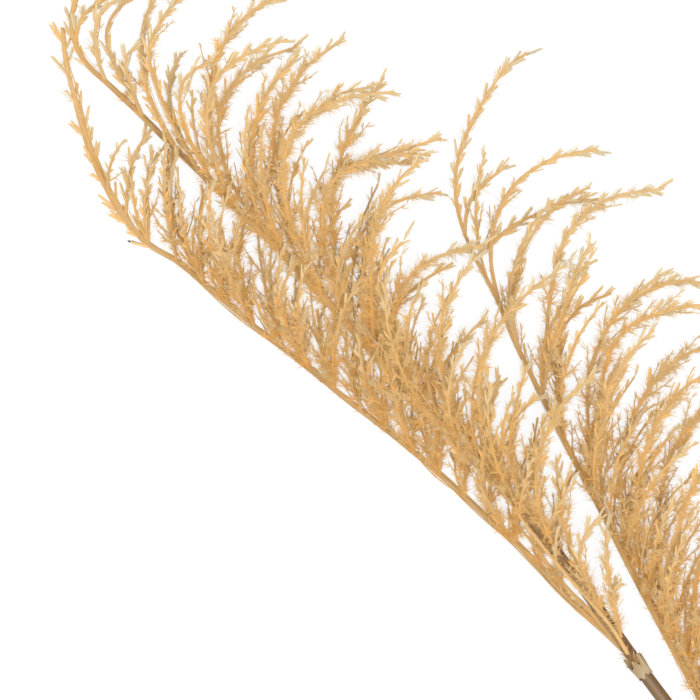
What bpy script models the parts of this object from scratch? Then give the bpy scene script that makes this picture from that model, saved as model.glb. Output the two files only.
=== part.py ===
"""Two dried, feathery grass plumes on bare stems, tied with twine and laid on a flat surface."""

import math
import random

import bmesh
import bpy
import numpy
from mathutils import Matrix, Vector

MM = 0.001

# The plan is drawn on a grid seen from above. A square is SQUARE wide, and squares are counted to
# the right and down from the corner of the reference view. Heights are above the surface.
SQUARE = 0.33 * MM
ORIGIN_SQUARE = (666.0, 581.5)
GRID_TURN = math.radians(-36.0)

# Clearance between neighbouring pieces, distance at which corners are merged, and the angle in
# degrees from which an edge is shaded sharp
GAP = 0.3 * MM
MERGE_DISTANCE = 0.01 * MM
SHARP_ANGLE = 40.0

# Straight parts that a stretch between two points of a smooth way is drawn in
PARTS_PER_POINT = 8

# Stems, with the swollen rings as shares of their length from the plume
STEM_TOP_RADIUS = 2.2 * MM
STEM_CUT_RADIUS = 2.6 * MM
STEM_TIE_RADIUS = 2.5 * MM
STEM_PIPE_RADIUS = 1.3 * MM
STEM_PIPE_DEPTH = 9.0 * MM
STEM_STEPS = 18
STEM_ROUNDING = 2
RING_LENGTH = 1.2 * MM
RING_SWELL = 1.16
LEFT_RINGS = (0.34, 0.86)
RIGHT_RINGS = (0.22, 0.80)
LEFT_STEM_SQUARE = (664, 700, 13.2)
LEFT_CUT_SQUARE = (1100, 1297, 2.6)
RIGHT_CUT_SQUARE = (1111, 1261, 2.6)

# Twine round both stems
TWINE_RADIUS = 0.9 * MM
TWINE_ROUNDING = 1
TWINE_PITCH = 2.1 * MM
TWINE_TURNS = 3
TWINE_POINTS_PER_TURN = 14
KNOT_RING_RADIUS = 1.7 * MM
KNOT_POINTS = 9
KNOT_TURNS = 0.86
KNOT_TILT = (0.9, 0.35)
KNOT_HEIGHT = 1.35 * MM
TWINE_END_LENGTH = 13.0 * MM
TWINE_END_DROP = 2.5 * MM
TWINE_END_STEPS = 5
TWINE_END_AIMS = ((-1.0, 0.55), (1.0, 0.35))
TIE_SQUARE = (985.0, 1118.0)
TIE_HEADING = (-0.59, -0.81)
TIE_HEIGHT = STEM_TIE_RADIUS + GAP + 2 * TWINE_RADIUS

# Collar of torn sheath at the foot of each plume, with its socket for the stem
COLLAR_WALL = 0.75 * MM
COLLAR_LENGTH = 9.0 * MM
COLLAR_CLOSED = 3.0 * MM
COLLAR_NARROWING = 0.85
COLLAR_SIDES = 12
LOBE_TURNS = (20.0, 95.0, 165.0, 250.0)
LOBE_SIDES = 4
LOBE_RADIUS = 1.2 * MM
LOBE_TIP_RADIUS = 0.6 * MM
LOBE_LENGTH = 10.0 * MM
LOBE_FLARE = 2.2 * MM

# Main axis, branches and long strand of a plume
RACHIS_STEPS_PER_POINT = 1.7
RACHIS_FOOT_RADIUS = 2.2 * MM
RACHIS_TIP_RADIUS = 0.75 * MM
RACHIS_ROUNDING = 1
BOUGH_FOOT_RADIUS = 1.15 * MM
TWIG_FOOT_RADIUS = 0.95 * MM
BOUGH_TIP_RADIUS = 0.75 * MM
STRAND_RADIUS = 1.3 * MM
BOUGH_STEPS = 5
FILLER_STEPS = 4
TWIG_STEPS = 3
STRAND_STEPS = 26
LOWEST_AXIS = 0.8 * MM

# Spikelets and the longer branchlets lower on a branch, with angles in degrees
SPIKELET_SIDES = 3
SPIKELET_RADIUS = 0.85 * MM
SPIKELET_WIDEST = 0.35
SPIKELET_LENGTHS = (7.0 * MM, 9.5 * MM)
SPIKELET_SPREAD = 33.0
BRANCHLET_LENGTHS = (11.0 * MM, 17.0 * MM)
BRANCHLET_SPREAD = 27.0
BRANCHLET_SHARE = 0.55
END_SHARE = 0.9
END_LENGTH = 0.75
SPIKELET_TILT = 65.0
SPIKELET_SPACING = 7.9 * MM
SPIKELET_PHASE = 0.7
FEWEST_SPIKELETS = 2
PLACES_PER_SPIKELET = 4
SPIKELET_ATTEMPTS = 4
OUTER_SHARES = (0.4, 0.6, 0.8, 1.0)
SPIKELET_CLEARANCE = 1.2 * MM
OTHER_PLUME_CLEARANCE = 2.4 * MM
LOWEST_TIP = 0.05 * MM
BARE_SHARE = 0.22
RACHIS_BARE_SHARE = 0.72

# Left plume: its main axis from foot to tip, as squares across, squares down and height in mm
LEFT_RACHIS = (
    (637, 664, 14), (604, 617, 15), (572, 573, 16), (542, 534, 17), (506, 492, 18),
    (462, 447, 19), (420, 404, 20), (378, 358, 20), (346, 322, 20), (310, 283, 20),
    (275, 246, 20), (242, 214, 19), (206, 178, 18), (172, 146, 17), (143, 117, 16),
    (108, 84, 15), (88, 66, 14), (77, 49, 13), (71, 22, 12), (76, -2, 12), (95, -25, 12),
)

# The long lowest branch of the left plume, which lies on the surface along its outer edge
LEFT_STRAND = (
    (634, 660, 13.5), (600, 628, 8), (560, 590, 4), (520, 547, 2), (480, 511, 1.5),
    (440, 475, 1.3), (400, 441, 1.2), (360, 410, 1.2), (320, 378, 1.2), (285, 350, 1.2),
    (260, 331, 1.2), (220, 298, 1.1), (180, 264, 1.1), (150, 245, 1.1), (135, 231, 1.1),
    (120, 212, 1.2), (110, 195, 1.4), (100, 175, 2), (85, 133, 3), (72, 90, 4),
    (64, 55, 5), (62, 27, 6),
)

# Branches of the left plume, each as the height of its tip in mm and its way from foot to tip
LEFT_BOUGHS = (
    (16, (72, 36), (80, 20), (90, 9), (104, 0), (120, -12)),
    (24, (106, 82), (98, 60), (95, 38), (98, 18), (112, 4), (138, -12)),
    (8, (143, 117), (128, 88), (114, 65), (107, 44), (107, 26), (116, 8), (148, -14)),
    (30, (150, 124), (134, 95), (127, 72), (127, 56), (142, 46)),
    (18, (172, 146), (156, 112), (147, 89), (144, 62), (141, 40), (146, 16), (168, -18)),
    (34, (190, 163), (171, 120), (155, 82), (149, 60), (156, 34), (170, 12), (198, -16)),
    (5, (200, 172), (180, 135), (169, 100), (170, 78), (181, 52)),
    (44, (213, 185), (190, 140), (180, 100), (188, 78), (211, 63)),
    (30, (250, 222), (222, 185), (212, 140), (211, 95), (218, 55), (238, 22), (304, -12)),
    (14, (262, 234), (232, 185), (219, 140), (222, 104), (242, 74), (268, 55), (299, 46)),
    (48, (240, 212), (215, 160), (207, 115), (218, 78), (240, 60), (288, 42)),
    (38, (285, 256), (262, 205), (252, 160), (258, 118), (274, 84), (299, 56)),
    (22, (310, 283), (288, 235), (276, 180), (275, 125), (293, 88), (316, 54), (344, 38)),
    (50, (322, 296), (298, 240), (284, 190), (284, 155), (300, 125), (328, 105), (394, 94)),
    (10, (346, 322), (336, 265), (332, 205), (340, 160), (355, 122), (384, 77)),
    (36, (362, 340), (340, 290), (322, 235), (326, 190), (350, 170), (398, 153), (441, 139)),
    (56, (378, 358), (372, 300), (372, 245), (385, 205), (398, 180), (419, 162)),
    (16, (404, 388), (380, 330), (365, 270), (368, 225), (390, 205), (441, 192)),
    (42, (404, 388), (392, 345), (383, 300), (380, 270), (402, 243)),
    (36, (434, 418), (412, 370), (395, 325), (400, 290), (425, 265), (455, 251), (484, 245)),
    (22, (448, 433), (415, 390), (392, 350), (386, 328), (402, 298), (424, 281), (453, 263)),
    (44, (462, 447), (448, 395), (438, 345), (448, 300), (475, 256)),
    (26, (485, 472), (458, 420), (442, 375), (455, 350), (484, 318)),
    (52, (506, 492), (488, 440), (478, 395), (484, 350), (504, 318), (530, 290), (564, 265)),
    (36, (530, 520), (512, 470), (511, 425), (526, 365)),
    (16, (520, 508), (495, 455), (485, 425), (500, 375)),
    (30, (548, 540), (522, 485), (510, 440), (520, 410), (538, 396)),
    (46, (560, 556), (540, 515), (535, 478), (546, 430), (562, 402), (592, 375)),
    (26, (590, 600), (575, 560), (560, 510), (556, 458)),
    (32, (604, 617), (582, 570), (580, 542), (600, 515)),
    (30, (630, 652), (616, 615), (607, 572), (605, 530)),
)

# Shorter branches of the left plume, which leave the branches above or the long strand
LEFT_TWIGS = (
    (40, (300, 125), (335, 98), (370, 89)),
    (32, (360, 166), (385, 164), (414, 164)),
    (44, (398, 153), (414, 155), (430, 157)),
    (34, (567, 530), (560, 495), (571, 470)),
    (36, (609, 590), (614, 586), (622, 583)),
    (8, (125, 216), (128, 180), (131, 160), (152, 127)),
    (14, (160, 250), (148, 205), (147, 182), (153, 150)),
    (4, (200, 280), (188, 258), (168, 205), (168, 148)),
    (20, (215, 293), (203, 265), (199, 225), (204, 190)),
    (10, (260, 331), (245, 290), (238, 250), (248, 212)),
    (26, (300, 362), (285, 320), (282, 290), (297, 260)),
    (12, (340, 393), (322, 350), (320, 318), (337, 288)),
    (28, (400, 441), (375, 400), (368, 370), (382, 342)),
    (10, (450, 484), (425, 440), (418, 410), (432, 378)),
    (22, (510, 539), (490, 505), (480, 478), (488, 450)),
)

# Right plume: its main axis from foot to tip
RIGHT_RACHIS = (
    (785, 825, 12), (745, 765, 11), (710, 712, 10), (675, 650, 9), (632, 570, 8),
    (603, 513, 7), (576, 463, 7), (553, 418, 7), (533, 378, 7), (515, 342, 7),
    (498, 300, 7), (478, 262, 8), (463, 229, 10), (456, 200, 11), (456, 170, 12),
    (463, 143, 13), (475, 115, 14), (497, 80, 15), (510, 63, 15), (527, 53, 15),
)

# Branches of the right plume
RIGHT_BOUGHS = (
    (20, (466, 236), (467, 210), (477, 190), (508, 165)),
    (6, (480, 265), (491, 245), (510, 228), (536, 214)),
    (26, (498, 300), (491, 262), (494, 225), (511, 190), (545, 162), (597, 150)),
    (12, (515, 342), (512, 300), (522, 258), (540, 222), (563, 204), (600, 199)),
    (30, (545, 402), (545, 350), (551, 295), (560, 250), (580, 218), (612, 198), (663, 189)),
    (46, (538, 388), (552, 345), (566, 300), (575, 270), (589, 244)),
    (20, (556, 424), (558, 370), (564, 315), (586, 273)),
    (0, (564, 440), (558, 385), (562, 330), (580, 308), (612, 293)),
    (28, (590, 490), (588, 430), (590, 372), (606, 328), (640, 295), (682, 280), (728, 288)),
    (44, (603, 513), (600, 450), (600, 385), (615, 340), (648, 315), (705, 304), (735, 306)),
    (56, (595, 500), (602, 430), (612, 375), (651, 330)),
    (18, (632, 570), (622, 505), (625, 440), (645, 395), (680, 358), (738, 338)),
    (38, (645, 595), (636, 525), (642, 455), (662, 415), (690, 382), (742, 362)),
    (0, (660, 625), (658, 550), (665, 480), (682, 435), (712, 408), (750, 392)),
    (50, (675, 650), (672, 580), (682, 510), (705, 465), (765, 428)),
    (28, (690, 678), (692, 605), (705, 545), (730, 500), (775, 470)),
    (0, (700, 695), (708, 630), (722, 580), (750, 540), (790, 512)),
    (42, (718, 725), (728, 665), (745, 615), (770, 580), (802, 560)),
    (20, (735, 750), (748, 700), (765, 655), (790, 625), (815, 610)),
    (34, (752, 776), (766, 730), (782, 695), (806, 672)),
    (0, (768, 800), (780, 765), (794, 738), (815, 722)),
    (24, (778, 815), (790, 792), (800, 775), (812, 765)),
)

# Shorter branches of the right plume
RIGHT_TWIGS = (
    (20, (540, 222), (560, 202), (589, 187)),
    (34, (566, 300), (574, 278), (587, 262)),
    (36, (632, 300), (643, 288), (656, 277)),
)

# Branches that fill the body of a plume: how many, the shares of the way that they leave between
# which they stand, their least and greatest length, and the lowest and highest of their tips
LEFT_FILLERS = {
    "count": 9, "stretch": (0.10, 0.80),
    "lengths": (30.0 * MM, 44.0 * MM), "heights": (3.0 * MM, 58.0 * MM),
}
STRAND_FILLERS = {
    "count": 9, "stretch": (0.22, 0.84),
    "lengths": (15.0 * MM, 25.0 * MM), "heights": (4.0 * MM, 26.0 * MM),
}
RIGHT_FILLERS = {
    "count": 13, "stretch": (0.06, 0.74),
    "lengths": (34.0 * MM, 44.0 * MM), "heights": (3.0 * MM, 54.0 * MM),
}
FILLER_LEAN = (0.05, 0.45)
FILLER_BEND = (0.55, 1.2)
FILLER_VARIATION = (0.8, 1.15)
FILLER_POINTS = 5
GOLDEN_SHARE = 0.618

LEFT_SEED = 11
RIGHT_SEED = 23


def on_plan(across, down, height):
    """Turn a grid square and a height in mm into a place on the surface."""
    flat = Vector((across - ORIGIN_SQUARE[0], ORIGIN_SQUARE[1] - down)) * SQUARE
    flat.rotate(Matrix.Rotation(GRID_TURN, 2))
    return Vector((flat.x, flat.y, height * MM))


def smooth_way(points, steps):
    """Return steps + 1 evenly spaced places on a smooth curve through the points."""
    ends = [2 * points[0] - points[1]] + list(points) + [2 * points[-1] - points[-2]]
    dense = []
    for before, start, end, after in zip(ends, ends[1:], ends[2:], ends[3:]):
        for part in range(PARTS_PER_POINT):
            t = part / PARTS_PER_POINT
            pull = (end - before) * t + (2 * before - 5 * start + 4 * end - after) * t ** 2
            pull += (3 * start - before - 3 * end + after) * t ** 3
            dense.append(start + pull / 2)
    dense.append(points[-1].copy())
    return even_way(dense, steps)


def even_way(places, steps):
    """Space steps + 1 places evenly along a line of straight stretches."""
    marks = [0.0]
    for start, end in zip(places, places[1:]):
        marks.append(marks[-1] + (end - start).length)
    way = [places[0].copy()]
    stretch = 0
    for step in range(1, steps):
        mark = marks[-1] * step / steps
        while marks[stretch + 1] < mark:
            stretch += 1
        share = (mark - marks[stretch]) / (marks[stretch + 1] - marks[stretch])
        way.append(places[stretch].lerp(places[stretch + 1], share))
    way.append(places[-1].copy())
    return way


def way_length(way):
    return sum((end - start).length for start, end in zip(way, way[1:]))


def heading(way, index):
    """Direction of a way at one of its places."""
    return (way[min(index + 1, len(way) - 1)] - way[max(index - 1, 0)]).normalized()


def tapered(start, end, count):
    return [start + (end - start) * step / (count - 1) for step in range(count)]


class Stretches:
    """Straight stretches that a new one is kept clear of."""

    def __init__(self):
        self.starts = []
        self.runs = []

    def add(self, start, end):
        self.starts.append(tuple(start))
        self.runs.append(tuple(end - start))

    def add_way(self, way):
        for start, end in zip(way, way[1:]):
            self.add(start, end)

    def distance(self, places):
        """How near the nearest stretch comes to any of some places."""
        places = numpy.array([tuple(place) for place in places])
        starts, runs = numpy.array(self.starts), numpy.array(self.runs)
        away = places[:, None] - starts[None]
        share = (away * runs).sum(2) / (runs * runs).sum(1)
        away = away - runs * share.clip(0, 1)[:, :, None]
        return numpy.sqrt((away * away).sum(2).min())


class Plume:
    """The axes of one plume, as ways with their radii, and its spikelets, as feet and tips."""

    def __init__(self, rachis, seed):
        self.draw = random.Random(seed)
        steps = round(RACHIS_STEPS_PER_POINT * len(rachis))
        self.rachis = smooth_way([on_plan(*point) for point in rachis], steps)
        self.axes = []
        self.spikelets = []
        self.stretches = Stretches()
        self.add_axis(self.rachis, RACHIS_FOOT_RADIUS, RACHIS_TIP_RADIUS)

    def add_axis(self, way, foot_radius, tip_radius):
        self.axes.append((way, tapered(foot_radius, tip_radius, len(way))))
        self.stretches.add_way(way)

    def add_strand(self, points):
        """Add a long branch that has a height of its own at each of its points."""
        way = smooth_way([on_plan(*point) for point in points], STRAND_STEPS)
        self.add_axis(way, STRAND_RADIUS, BOUGH_TIP_RADIUS)
        return way

    def add_branch(self, points, foot_height, tip_height, steps, foot_radius):
        """Add a branch that climbs or sinks from its foot to its tip as it goes out."""
        way = smooth_way(points, steps)
        for index, place in enumerate(way):
            share = math.sin(math.pi / 2 * index / steps)
            place.z = foot_height + (tip_height - foot_height) * share
            place.z = max(place.z, LOWEST_AXIS)
        self.add_axis(way, foot_radius, BOUGH_TIP_RADIUS)

    def add_branches(self, branches, supports, steps, foot_radius):
        """Add branches, with their feet moved onto the nearest of the supports."""
        places = [place for way in supports for place in way]
        for tip_height, *squares in branches:
            points = [on_plan(across, down, 0) for across, down in squares]
            start = points[0].xy
            foot = min(places, key=lambda place: (place.xy - start).length)
            points[0] = Vector((foot.x, foot.y, 0))
            self.add_branch(points, foot.z, tip_height * MM, steps, foot_radius)

    def add_fillers(self, way, count, stretch, lengths, heights):
        """Add branches that leave a way forwards and arch over to its right."""
        for number in range(count):
            share = stretch[0] + (stretch[1] - stretch[0]) * (number + 0.5) / count
            index = round(share * (len(way) - 1))
            foot = way[index]
            length = lengths[0] + (lengths[1] - lengths[0]) * math.sin(math.pi * share)
            length *= self.draw.uniform(*FILLER_VARIATION)
            ahead = heading(way, index)
            start = math.atan2(ahead.y, ahead.x) - self.draw.uniform(*FILLER_LEAN)
            bend = self.draw.uniform(*FILLER_BEND)
            points = [Vector((foot.x, foot.y, 0))]
            for point in range(FILLER_POINTS):
                turn = start - bend * (point + 0.5) / FILLER_POINTS
                reach = Vector((math.cos(turn), math.sin(turn), 0)) * length / FILLER_POINTS
                points.append(points[-1] + reach)
            high = heights[0] + (heights[1] - heights[0]) * (number * GOLDEN_SHARE % 1)
            self.add_branch(points, foot.z, high, FILLER_STEPS, BOUGH_FOOT_RADIUS)

    def dress(self, others):
        """Set spikelets on every axis, clear of each other and of the other plume."""
        for way, radii in self.axes:
            first = RACHIS_BARE_SHARE if way is self.rachis else BARE_SHARE
            self.add_spikelets(way, first, others)

    def add_spikelets(self, way, first, others):
        """Set spikelets alternately on both sides of a way, from the share first to its tip."""
        count = round(way_length(way) * (1 - first) / SPIKELET_SPACING)
        count = max(FEWEST_SPIKELETS, count)
        dense = even_way(way, count * PLACES_PER_SPIKELET)
        side = self.draw.choice((-1, 1))
        for number in range(count):
            share = first + (1 - first) * (number + SPIKELET_PHASE) / count
            index = round(share * (len(dense) - 1))
            side = -side
            for attempt in range(SPIKELET_ATTEMPTS):
                foot, tip = self.drawn_spikelet(dense, index, share, side)
                outer = [foot.lerp(tip, part) for part in OUTER_SHARES]
                if self.stretches.distance(outer) < SPIKELET_CLEARANCE:
                    continue
                if others.distance([foot] + outer) < OTHER_PLUME_CLEARANCE:
                    continue
                self.spikelets.append((foot, tip))
                self.stretches.add(foot, tip)
                break

    def drawn_spikelet(self, way, index, share, side):
        """Draw a spikelet that leaves a way forwards and to one side, with some tilt."""
        ahead = heading(way, index)
        upward = (Vector((0, 0, 1)) - ahead * ahead.z).normalized()
        across = ahead.cross(upward) * side
        tilt = math.radians(self.draw.uniform(-SPIKELET_TILT, SPIKELET_TILT))
        lengths, spread = SPIKELET_LENGTHS, math.radians(SPIKELET_SPREAD)
        if share < BRANCHLET_SHARE:
            lengths, spread = BRANCHLET_LENGTHS, math.radians(BRANCHLET_SPREAD)
        reach = self.draw.uniform(*lengths)
        if share > END_SHARE:
            reach *= END_LENGTH
        outward = across * math.cos(tilt) + upward * math.sin(tilt)
        tip = way[index] + (ahead * math.cos(spread) + outward * math.sin(spread)) * reach
        tip.z = max(tip.z, LOWEST_TIP)
        return way[index].copy(), tip


def principled(name, colour, roughness):
    material = bpy.data.materials.new(name)
    material.use_nodes = True
    shader = material.node_tree.nodes["Principled BSDF"]
    shader.inputs["Base Color"].default_value = (*colour, 1.0)
    shader.inputs["Roughness"].default_value = roughness
    return material


def new_collection(name):
    collection = bpy.data.collections.new(name)
    bpy.context.scene.collection.children.link(collection)
    return collection


def new_object(name, data, collection):
    piece = bpy.data.objects.new(name, data)
    collection.objects.link(piece)
    return piece


def evaluated_mesh(piece):
    """A mesh of a curve or of a modified object, as it is evaluated."""
    bpy.context.view_layer.update()
    graph = bpy.context.evaluated_depsgraph_get()
    return bpy.data.meshes.new_from_object(piece.evaluated_get(graph))


def three_sided_outline(collection):
    """A triangular outline of radius one, which slim rods take as their section."""
    outline = bpy.data.curves.new("three_sided", "CURVE")
    spline = outline.splines.new("POLY")
    spline.points.add(2)
    spline.use_cyclic_u = True
    for number, point in enumerate(spline.points):
        turn = -2 * math.pi * number / 3
        point.co = (math.sin(turn), math.cos(turn), 0.0, 1.0)
    guide = new_object("three_sided", outline, collection)
    guide.hide_render = True
    return guide


def rod(name, way, radii, collection, section):
    """A closed mesh rod along a way, with a radius at each of its places.

    The section is a number of bevel steps, or a curve object that holds an outline.
    """
    curve = bpy.data.curves.new(name, "CURVE")
    curve.dimensions = "3D"
    curve.use_fill_caps = True
    if isinstance(section, int):
        curve.bevel_depth = 1.0
        curve.bevel_resolution = section
    else:
        curve.bevel_mode = "OBJECT"
        curve.bevel_object = section
    spline = curve.splines.new("POLY")
    spline.points.add(len(way) - 1)
    for point, place, radius in zip(spline.points, way, radii):
        point.co = (*place, 1.0)
        point.radius = radius
    guide = new_object(name + "_guide", curve, collection)
    mesh = evaluated_mesh(guide)
    piece = new_object(name, mesh, collection)
    piece.matrix_world = guide.matrix_world
    bpy.data.objects.remove(guide)
    shape = bmesh.new()
    shape.from_mesh(mesh)
    bmesh.ops.remove_doubles(shape, verts=shape.verts, dist=MERGE_DISTANCE)
    bmesh.ops.recalc_face_normals(shape, faces=shape.faces)
    shape.to_mesh(mesh)
    shape.free()
    return piece


def cone(name, foot, tip, foot_radius, tip_radius, sides, collection):
    """A closed cone or cylinder between two places."""
    shape = bmesh.new()
    bmesh.ops.create_cone(
        shape, cap_ends=True, segments=sides,
        radius1=foot_radius, radius2=tip_radius, depth=(tip - foot).length,
    )
    turn = (tip - foot).to_track_quat("Z", "Y").to_matrix().to_4x4()
    shape.transform(Matrix.Translation((foot + tip) / 2) @ turn)
    mesh = bpy.data.meshes.new(name)
    shape.to_mesh(mesh)
    shape.free()
    return new_object(name, mesh, collection)


def spikelet(name, foot, tip, collection):
    """A closed three-sided spindle that is pointed at both ends and widest near its foot."""
    widest = foot.lerp(tip, SPIKELET_WIDEST)
    piece = cone(name, widest, tip, SPIKELET_RADIUS, 0.0, SPIKELET_SIDES, collection)
    shape = bmesh.new()
    shape.from_mesh(piece.data)
    base = min(shape.faces, key=lambda face: (face.calc_center_median() - foot).length)
    poked = bmesh.ops.poke(shape, faces=[base])
    poked["verts"][0].co = foot
    shape.to_mesh(piece.data)
    shape.free()
    return piece


def apply_boolean(piece, operation, solver, **operand):
    """Join or cut a piece and keep the result as its mesh."""
    change = piece.modifiers.new(operation.title(), "BOOLEAN")
    change.operation = operation
    change.solver = solver
    for setting, value in operand.items():
        setattr(change, setting, value)
    mesh = evaluated_mesh(piece)
    piece.modifiers.clear()
    piece.data = mesh


def fuse(piece, repeats):
    """Join every object of a collection to a piece in one union, then remove them."""
    apply_boolean(piece, "UNION", "MANIFOLD", operand_type="COLLECTION", collection=repeats)
    for repeat in list(repeats.objects):
        bpy.data.objects.remove(repeat)
    bpy.data.collections.remove(repeats)
    keep_largest_body(piece.data)


def keep_largest_body(mesh):
    """Drop loose scrap and sealed hollows, so that one closed body is left."""
    shape = bmesh.new()
    shape.from_mesh(mesh)
    bodies = []
    unseen = set(shape.verts)
    while unseen:
        body = [unseen.pop()]
        for corner in body:
            for edge in corner.link_edges:
                neighbour = edge.other_vert(corner)
                if neighbour in unseen:
                    unseen.discard(neighbour)
                    body.append(neighbour)
        bodies.append(body)
    bodies.sort(key=len)
    for body in bodies[:-1]:
        bmesh.ops.delete(shape, geom=body, context="VERTS")
    shape.to_mesh(mesh)
    shape.free()


def cut(piece, name, foot, tip, radius, sides, cutters):
    """Cut a round hole between two places into a piece."""
    cutter = cone(name, foot, tip, radius, radius, sides, cutters)
    cutter.hide_render = True
    cutter.display_type = "WIRE"
    apply_boolean(piece, "DIFFERENCE", "EXACT", operand_type="OBJECT", object=cutter)


def finish(piece, name, material):
    piece.name = name
    piece.data.name = name
    piece.data.materials.clear()
    piece.data.materials.append(material)
    piece.data.shade_smooth()
    piece.data.set_sharp_from_angle(angle=math.radians(SHARP_ANGLE))
    return piece


def lay_out_left_plume():
    plume = Plume(LEFT_RACHIS, LEFT_SEED)
    strand = plume.add_strand(LEFT_STRAND)
    plume.add_branches(LEFT_BOUGHS, [plume.rachis], BOUGH_STEPS, BOUGH_FOOT_RADIUS)
    supports = [way for way, radii in plume.axes]
    plume.add_branches(LEFT_TWIGS, supports, TWIG_STEPS, TWIG_FOOT_RADIUS)
    plume.add_fillers(plume.rachis, **LEFT_FILLERS)
    plume.add_fillers(strand, **STRAND_FILLERS)
    return plume


def lay_out_right_plume():
    plume = Plume(RIGHT_RACHIS, RIGHT_SEED)
    plume.add_branches(RIGHT_BOUGHS, [plume.rachis], BOUGH_STEPS, BOUGH_FOOT_RADIUS)
    supports = [way for way, radii in plume.axes]
    plume.add_branches(RIGHT_TWIGS, supports, TWIG_STEPS, TWIG_FOOT_RADIUS)
    plume.add_fillers(plume.rachis, **RIGHT_FILLERS)
    return plume


def build_plume(name, plume, stem, outline, material, collection, cutters):
    """Fuse a plume's axes, spikelets and collar into one body with a socket for its stem."""
    repeats = new_collection(name + "_repeats")
    body = rod(name, *plume.axes[0], collection, RACHIS_ROUNDING)
    for way, radii in plume.axes[1:]:
        rod("axis", way, radii, repeats, outline)
    for foot, tip in plume.spikelets:
        spikelet("spikelet", foot, tip, repeats)
    foot = plume.rachis[0]
    back = heading(stem, 0)
    outer = STEM_TOP_RADIUS + GAP + COLLAR_WALL
    collar_end = foot + back * COLLAR_LENGTH
    cone("collar", collar_end, foot - back * COLLAR_CLOSED, outer, outer * COLLAR_NARROWING,
         COLLAR_SIDES, repeats)
    sideways = back.orthogonal().normalized()
    for turn in LOBE_TURNS:
        outward = Matrix.Rotation(math.radians(turn), 3, back) @ sideways
        root = foot + outward * (outer - LOBE_RADIUS)
        tip = root - back * LOBE_LENGTH + outward * LOBE_FLARE
        cone("lobe", root, tip, LOBE_RADIUS, LOBE_TIP_RADIUS, LOBE_SIDES, repeats)
    fuse(body, repeats)
    cut(body, name + "_socket", collar_end + back * GAP, foot, STEM_TOP_RADIUS + GAP,
        COLLAR_SIDES, cutters)
    return finish(body, name, material)


def build_stem(name, way, ring_shares, material, collection, cutters):
    """A bare stem from its seat in the collar to its hollow cut end, with swollen rings."""
    way = [way[0] + heading(way, 0) * GAP] + way[1:]
    radii = tapered(STEM_TOP_RADIUS, STEM_CUT_RADIUS, len(way))
    for share in sorted(ring_shares, reverse=True):
        ring = round(share * (len(way) - 1))
        step = heading(way, ring) * RING_LENGTH
        way[ring:ring + 1] = [way[ring] - step, way[ring], way[ring] + step]
        radii[ring:ring + 1] = [radii[ring], radii[ring] * RING_SWELL, radii[ring]]
    stem = rod(name, way, radii, collection, STEM_ROUNDING)
    end = way[-1]
    ahead = heading(way, len(way) - 1)
    cut(stem, name + "_pipe", end - ahead * STEM_PIPE_DEPTH, end + ahead * GAP,
        STEM_PIPE_RADIUS, COLLAR_SIDES, cutters)
    return finish(stem, name, material)


def round_both_stems(turns, half_width, bend):
    """Place on a way round two stems side by side, as across and up, from the middle on top."""
    arc = math.pi * bend
    reach = turns % 1.0 * 2 * (2 * half_width + arc)
    if reach <= half_width:
        return reach, bend
    reach -= half_width
    if reach <= arc:
        return half_width + bend * math.sin(reach / bend), bend * math.cos(reach / bend)
    reach -= arc
    if reach <= 2 * half_width:
        return half_width - reach, -bend
    reach -= 2 * half_width
    if reach <= arc:
        return -half_width - bend * math.sin(reach / bend), -bend * math.cos(reach / bend)
    return reach - arc - half_width, bend


def build_tie(name, place, along, across, material, collection):
    """Twine wound round both stems, with a knot on top and two short ends."""
    upward = Vector((0, 0, 1))
    half_width = STEM_TIE_RADIUS + GAP / 2
    bend = STEM_TIE_RADIUS + GAP + TWINE_RADIUS
    way = []
    for point in range(TWINE_TURNS * TWINE_POINTS_PER_TURN + 1):
        turns = point / TWINE_POINTS_PER_TURN
        side, high = round_both_stems(turns, half_width, bend)
        onward = TWINE_PITCH * (turns - TWINE_TURNS / 2)
        way.append(place + across * side + upward * high + along * onward)
    twine = rod(name, way, [TWINE_RADIUS] * len(way), collection, TWINE_ROUNDING)

    repeats = new_collection(name + "_repeats")
    knot = place + upward * (bend + KNOT_HEIGHT)
    slope = along * KNOT_TILT[0] + upward * KNOT_TILT[1]
    loop = []
    for point in range(KNOT_POINTS + 1):
        turn = 2 * math.pi * KNOT_TURNS * point / KNOT_POINTS
        loop.append(knot + (across * math.cos(turn) + slope * math.sin(turn)) * KNOT_RING_RADIUS)
    rod("loop", loop, [TWINE_RADIUS] * len(loop), repeats, TWINE_ROUNDING)
    for start, (side, forward) in zip((way[-1], way[0]), TWINE_END_AIMS):
        aim = (across * side + along * forward).normalized()
        end = smooth_way([
            start - aim * TWINE_RADIUS,
            knot + upward * TWINE_RADIUS / 2,
            knot + aim * TWINE_END_LENGTH / 2 + upward * TWINE_RADIUS / 4,
            knot + aim * TWINE_END_LENGTH - upward * TWINE_END_DROP,
        ], TWINE_END_STEPS)
        rod("end", end, [TWINE_RADIUS] * len(end), repeats, TWINE_ROUNDING)
    fuse(twine, repeats)
    return finish(twine, name, material)


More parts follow.
